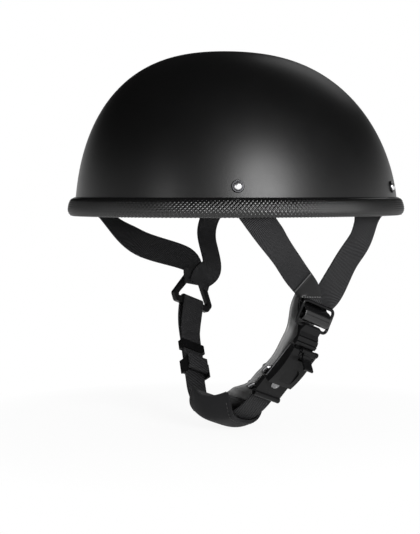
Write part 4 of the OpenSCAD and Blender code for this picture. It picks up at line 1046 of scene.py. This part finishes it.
class HELMET_OT_flap(Builder, bpy.types.Operator):
    """Builds the vinyl comfort flap behind the buckle"""
    bl_idname = "helmet.flap"
    bl_label = "Comfort flap"

    def build(self, p):
        cup_in = CHIN_R - CUP_DEEP
        flap_in = cup_in - LINING_T - 3 * SOFT_GAP - FLAP_T / 2
        leg_2 = layer(2) - 1 - WEB_T - LAYER_GAP
        top = leg_2 - WEB_T / 2 - SOFT_GAP - FLAP_T / 2
        rows = [from_ring(top - 3.4, 14), from_ring(top - 3.6, 2)]
        rows += [from_run(x, y) for x, y in ((-8.6, 62), (-4.4, 50), (-1.5, 38), (-2, 28), (-3.9, ANCHOR_Y),
                                             (-4.8, 7))]
        rows += [CHIN_C + r * np.array([cos(radians(d)), sin(radians(d))])
                 for r, d in ((cup_in - 1.2, -35), (flap_in + 0.5, -43), (flap_in, -52), (flap_in, -60))]
        path = smooth(rows, 8)
        place, across, out = flat_strip(path, FLAP_W, FLAP_SHIFT)
        flap = strip_object("vinyl_flap", place, across, out, FLAP_T)
        rows = [(place + across * k + out * (FLAP_T / 2 + 0.05))[5:-5] for k in (-0.84, 0.84)]
        vinyl = flap_finish(p)
        sewn = along_lines("flap_stitches", stitch_tree, rows, thread_values("Grey thread", 0.2, 3.0, 2.2, 0.5))
        dress(flap, vinyl, "root", "comfort_flap")
        dress(sewn, body="root")


class HELMET_OT_hardware(Builder, bpy.types.Operator):
    """Rounds the edges of the hard solids and gives them their finishes"""
    bl_idname = "helmet.hardware"
    bl_label = "Buckle and metal parts"
    settings = "helmet_hardware"

    def build(self, p):
        rows = (
            (plastic_finish(p), p.edge_radius, ("buckle_housing", "buckle_tongue", "buckle_lever",
                                                "anchor_sleeve", "strap_slider", "strap_yoke", "strap_keeper")),
            (metal_finish("Satin plating", (0.9, 0.9, 0.91), 0.38), 0, ("strap_rivets",)),
            (metal_finish("Dull nickel", (0.25, 0.25, 0.255), 0.25), 0, ("snap_caps", "anchor_rivet")),
            # Painted reflection: the rivet rings are dark metal so that they show dark crescents in place of
            # dark surroundings reflected in chrome cup washers.
            (metal_finish("Burnished rings", (0.035, 0.035, 0.037), 0.32), 0, ("rivet_rings",)),
            (metal_finish("Plain steel", (0.5, 0.5, 0.51), 0.3, 0.1), 0,
             ("rivet_washers", "buckle_base", "lever_pin", "snap_studs")),
            (plastic_finish(p, "Lacquered wire", 0.22), 0, ("slide_ring",)),
        )
        shade = self.shading()
        for finish, radius, nodes in rows:
            for node in nodes:
                self.soften(NODES[node], shade, radius)
                for slot in NODES[node].material_slots:
                    slot.material = finish

    def shading(self):
        g, inp = geometry_graph("Smooth by angle", {"Sharpest angle": radians(38)})
        flat = g.node("FunctionNodeCompare", [g.node("GeometryNodeInputMeshEdgeAngle"), inp["Sharpest angle"]],
                      operation="LESS_THAN")
        edged = g.node("GeometryNodeSetShadeSmooth",
                       {"Geometry": g.smooth(inp["Geometry"]), "Shade Smooth": flat}, domain="EDGE")
        g.node("NodeGroupOutput", [edged])
        return g.tree

    def soften(self, obj, shade, radius):
        weld = obj.modifiers.new("Join triangles", "WELD")
        weld.merge_threshold = 1e-6
        flat = obj.modifiers.new("Whole faces", "DECIMATE")
        flat.decimate_type, flat.angle_limit = "DISSOLVE", radians(0.6)
        if radius:
            bevel = obj.modifiers.new("Moulded edges", "BEVEL")
            bevel.width, bevel.segments, bevel.limit_method = radius, 2, "ANGLE"
            bevel.angle_limit = radians(40)
        obj.modifiers.new("Shading", "NODES").node_group = shade
        if radius:
            weight = obj.modifiers.new("Even shading", "WEIGHTED_NORMAL")
            weight.keep_sharp = True


class HELMET_OT_stage(Builder, bpy.types.Operator):
    """Sets the floor, the lights and the camera"""
    bl_idname = "helmet.stage"
    bl_label = "Stage"
    settings = "helmet_stage"

    def build(self, p):
        self.camera()
        self.lamps(p)
        self.world(p)
        self.floor()
        bpy.context.scene.view_settings.view_transform = "Standard"

    def camera(self):
        bearing = radians(CAMERA_BEARING)
        back = Vector((sin(bearing), -cos(bearing), 0))
        right = Vector((cos(bearing), sin(bearing), 0))
        data = bpy.data.cameras.new("Camera")
        data.sensor_width, data.lens, data.clip_end = SENSOR, FOCAL * SENSOR / PICTURE_H, 20
        camera = new_object("Camera", data)
        camera.location = back * CAMERA_DISTANCE + right * CAMERA_SHIFT + Vector((0, 0, CAMERA_HEIGHT))
        camera.rotation_euler = (pi / 2 - atan(HORIZON / FOCAL), 0, bearing)
        bpy.context.scene.camera = camera

    def lamps(self, p):
        """Soft boxes: bearing and height of each, size, share of the key's power and distance."""
        for name, bearing, height, size, share, distance in LAMPS:
            b, h = radians(bearing), radians(height)
            at = Vector((sin(b) * cos(h), -cos(b) * cos(h), sin(h))) * distance
            data = bpy.data.lights.new(name, "AREA")
            data.shape, data.size, data.energy = "DISK", size, p.key_power * share
            lamp = new_object(name, data)
            lamp.location = at
            lamp.rotation_euler = (at - Vector((0, 0, LAMP_AIM))).to_track_quat("Z", "Y").to_euler()

    def seen(self, g):
        """1 for rays that show the background: the camera's, in gloss and through glass."""
        rays = [g.node("ShaderNodeLightPath", output=f"Is {kind} Ray")
                for kind in ("Camera", "Glossy", "Transmission")]
        return g.clamp(rays[0] + rays[1] + rays[2], 0, 1)

    def world(self, p):
        world = bpy.data.worlds.new("Studio")
        world.use_nodes = True
        g = Graph(world.node_tree)
        camera = g.node("ShaderNodeLightPath", output="Is Camera Ray")
        height = g.split(g.node("ShaderNodeTexCoord", output="Generated"))[2]
        sky = 1 - g.step(height, SKY_LOW, SKY_HIGH) * SKY_FALL
        level = self.seen(g) * (g.maths("MAXIMUM", camera, sky) - p.ambient) + p.ambient
        back = g.node("ShaderNodeBackground", {"Color": (1, 1, 1, 1), "Strength": level})
        g.node("ShaderNodeOutputWorld", [back])
        bpy.context.scene.world = world

    def floor(self):
        z, size = CAD_BOX[0][2] - FLOOR_DROP, FLOOR_SIZE
        mesh = bpy.data.meshes.new("floor")
        corners = [(x * size, y * size, z) for x, y in ((-1, -1), (1, -1), (1, 1), (-1, 1))]
        mesh.from_pydata(corners, [], [(0, 1, 2, 3)])
        floor = new_object("floor", mesh)
        material = bpy.data.materials.new("Pale floor")
        material.use_nodes = True
        g = Graph(material.node_tree)
        cloth = g.node("ShaderNodeBsdfDiffuse", {"Color": (*[FLOOR_WHITE] * 3, 1)})
        light = g.node("ShaderNodeEmission", {"Color": (1, 1, 1, 1), "Strength": 1.0})
        at = g.node("ShaderNodeTexCoord", output="Object")
        away = g.node("ShaderNodeVectorMath", [at], 1, operation="LENGTH")
        white = self.seen(g) * g.clamp(g.step(away, FLOOR_NEAR, FLOOR_FAR) + FLOOR_LIT, 0, 1)
        g.node("ShaderNodeOutputMaterial", [g.node("ShaderNodeMixShader", [white, cloth, light])])
        floor.data.materials.append(material)


OPERATORS = (HELMET_OT_stage, HELMET_OT_shell, HELMET_OT_padding, HELMET_OT_straps, HELMET_OT_chin,
             HELMET_OT_cup, HELMET_OT_flap, HELMET_OT_hardware)
SETTINGS = {"helmet_shell": HelmetShellSettings, "helmet_soft": HelmetSoftSettings,
            "helmet_hardware": HelmetHardwareSettings, "helmet_stage": HelmetStageSettings}


class HELMET_PT_build(bpy.types.Panel):
    """Lists the builders and their settings"""
    bl_label = "Riding helmet"
    bl_idname = "HELMET_PT_build"
    bl_space_type = "VIEW_3D"
    bl_region_type = "UI"
    bl_category = "Helmet"

    def draw(self, context):
        for key, group in SETTINGS.items():
            box = self.layout.box()
            for name in group.__annotations__:
                box.prop(getattr(context.scene, key), name)
        for operator in OPERATORS:
            self.layout.operator(operator.bl_idname)


def register():
    for cls in (*SETTINGS.values(), *OPERATORS, HELMET_PT_build):
        bpy.utils.register_class(cls)
    for key, group in SETTINGS.items():
        setattr(bpy.types.Scene, key, PointerProperty(type=group))


def unregister():
    for key in SETTINGS:
        delattr(bpy.types.Scene, key)
    for cls in (HELMET_PT_build, *reversed(OPERATORS), *reversed(list(SETTINGS.values()))):
        bpy.utils.unregister_class(cls)


def main():
    register()
    for operator in OPERATORS:
        group, name = operator.bl_idname.split(".")
        getattr(getattr(bpy.ops, group), name)()


if __name__ == "__main__":
    main()
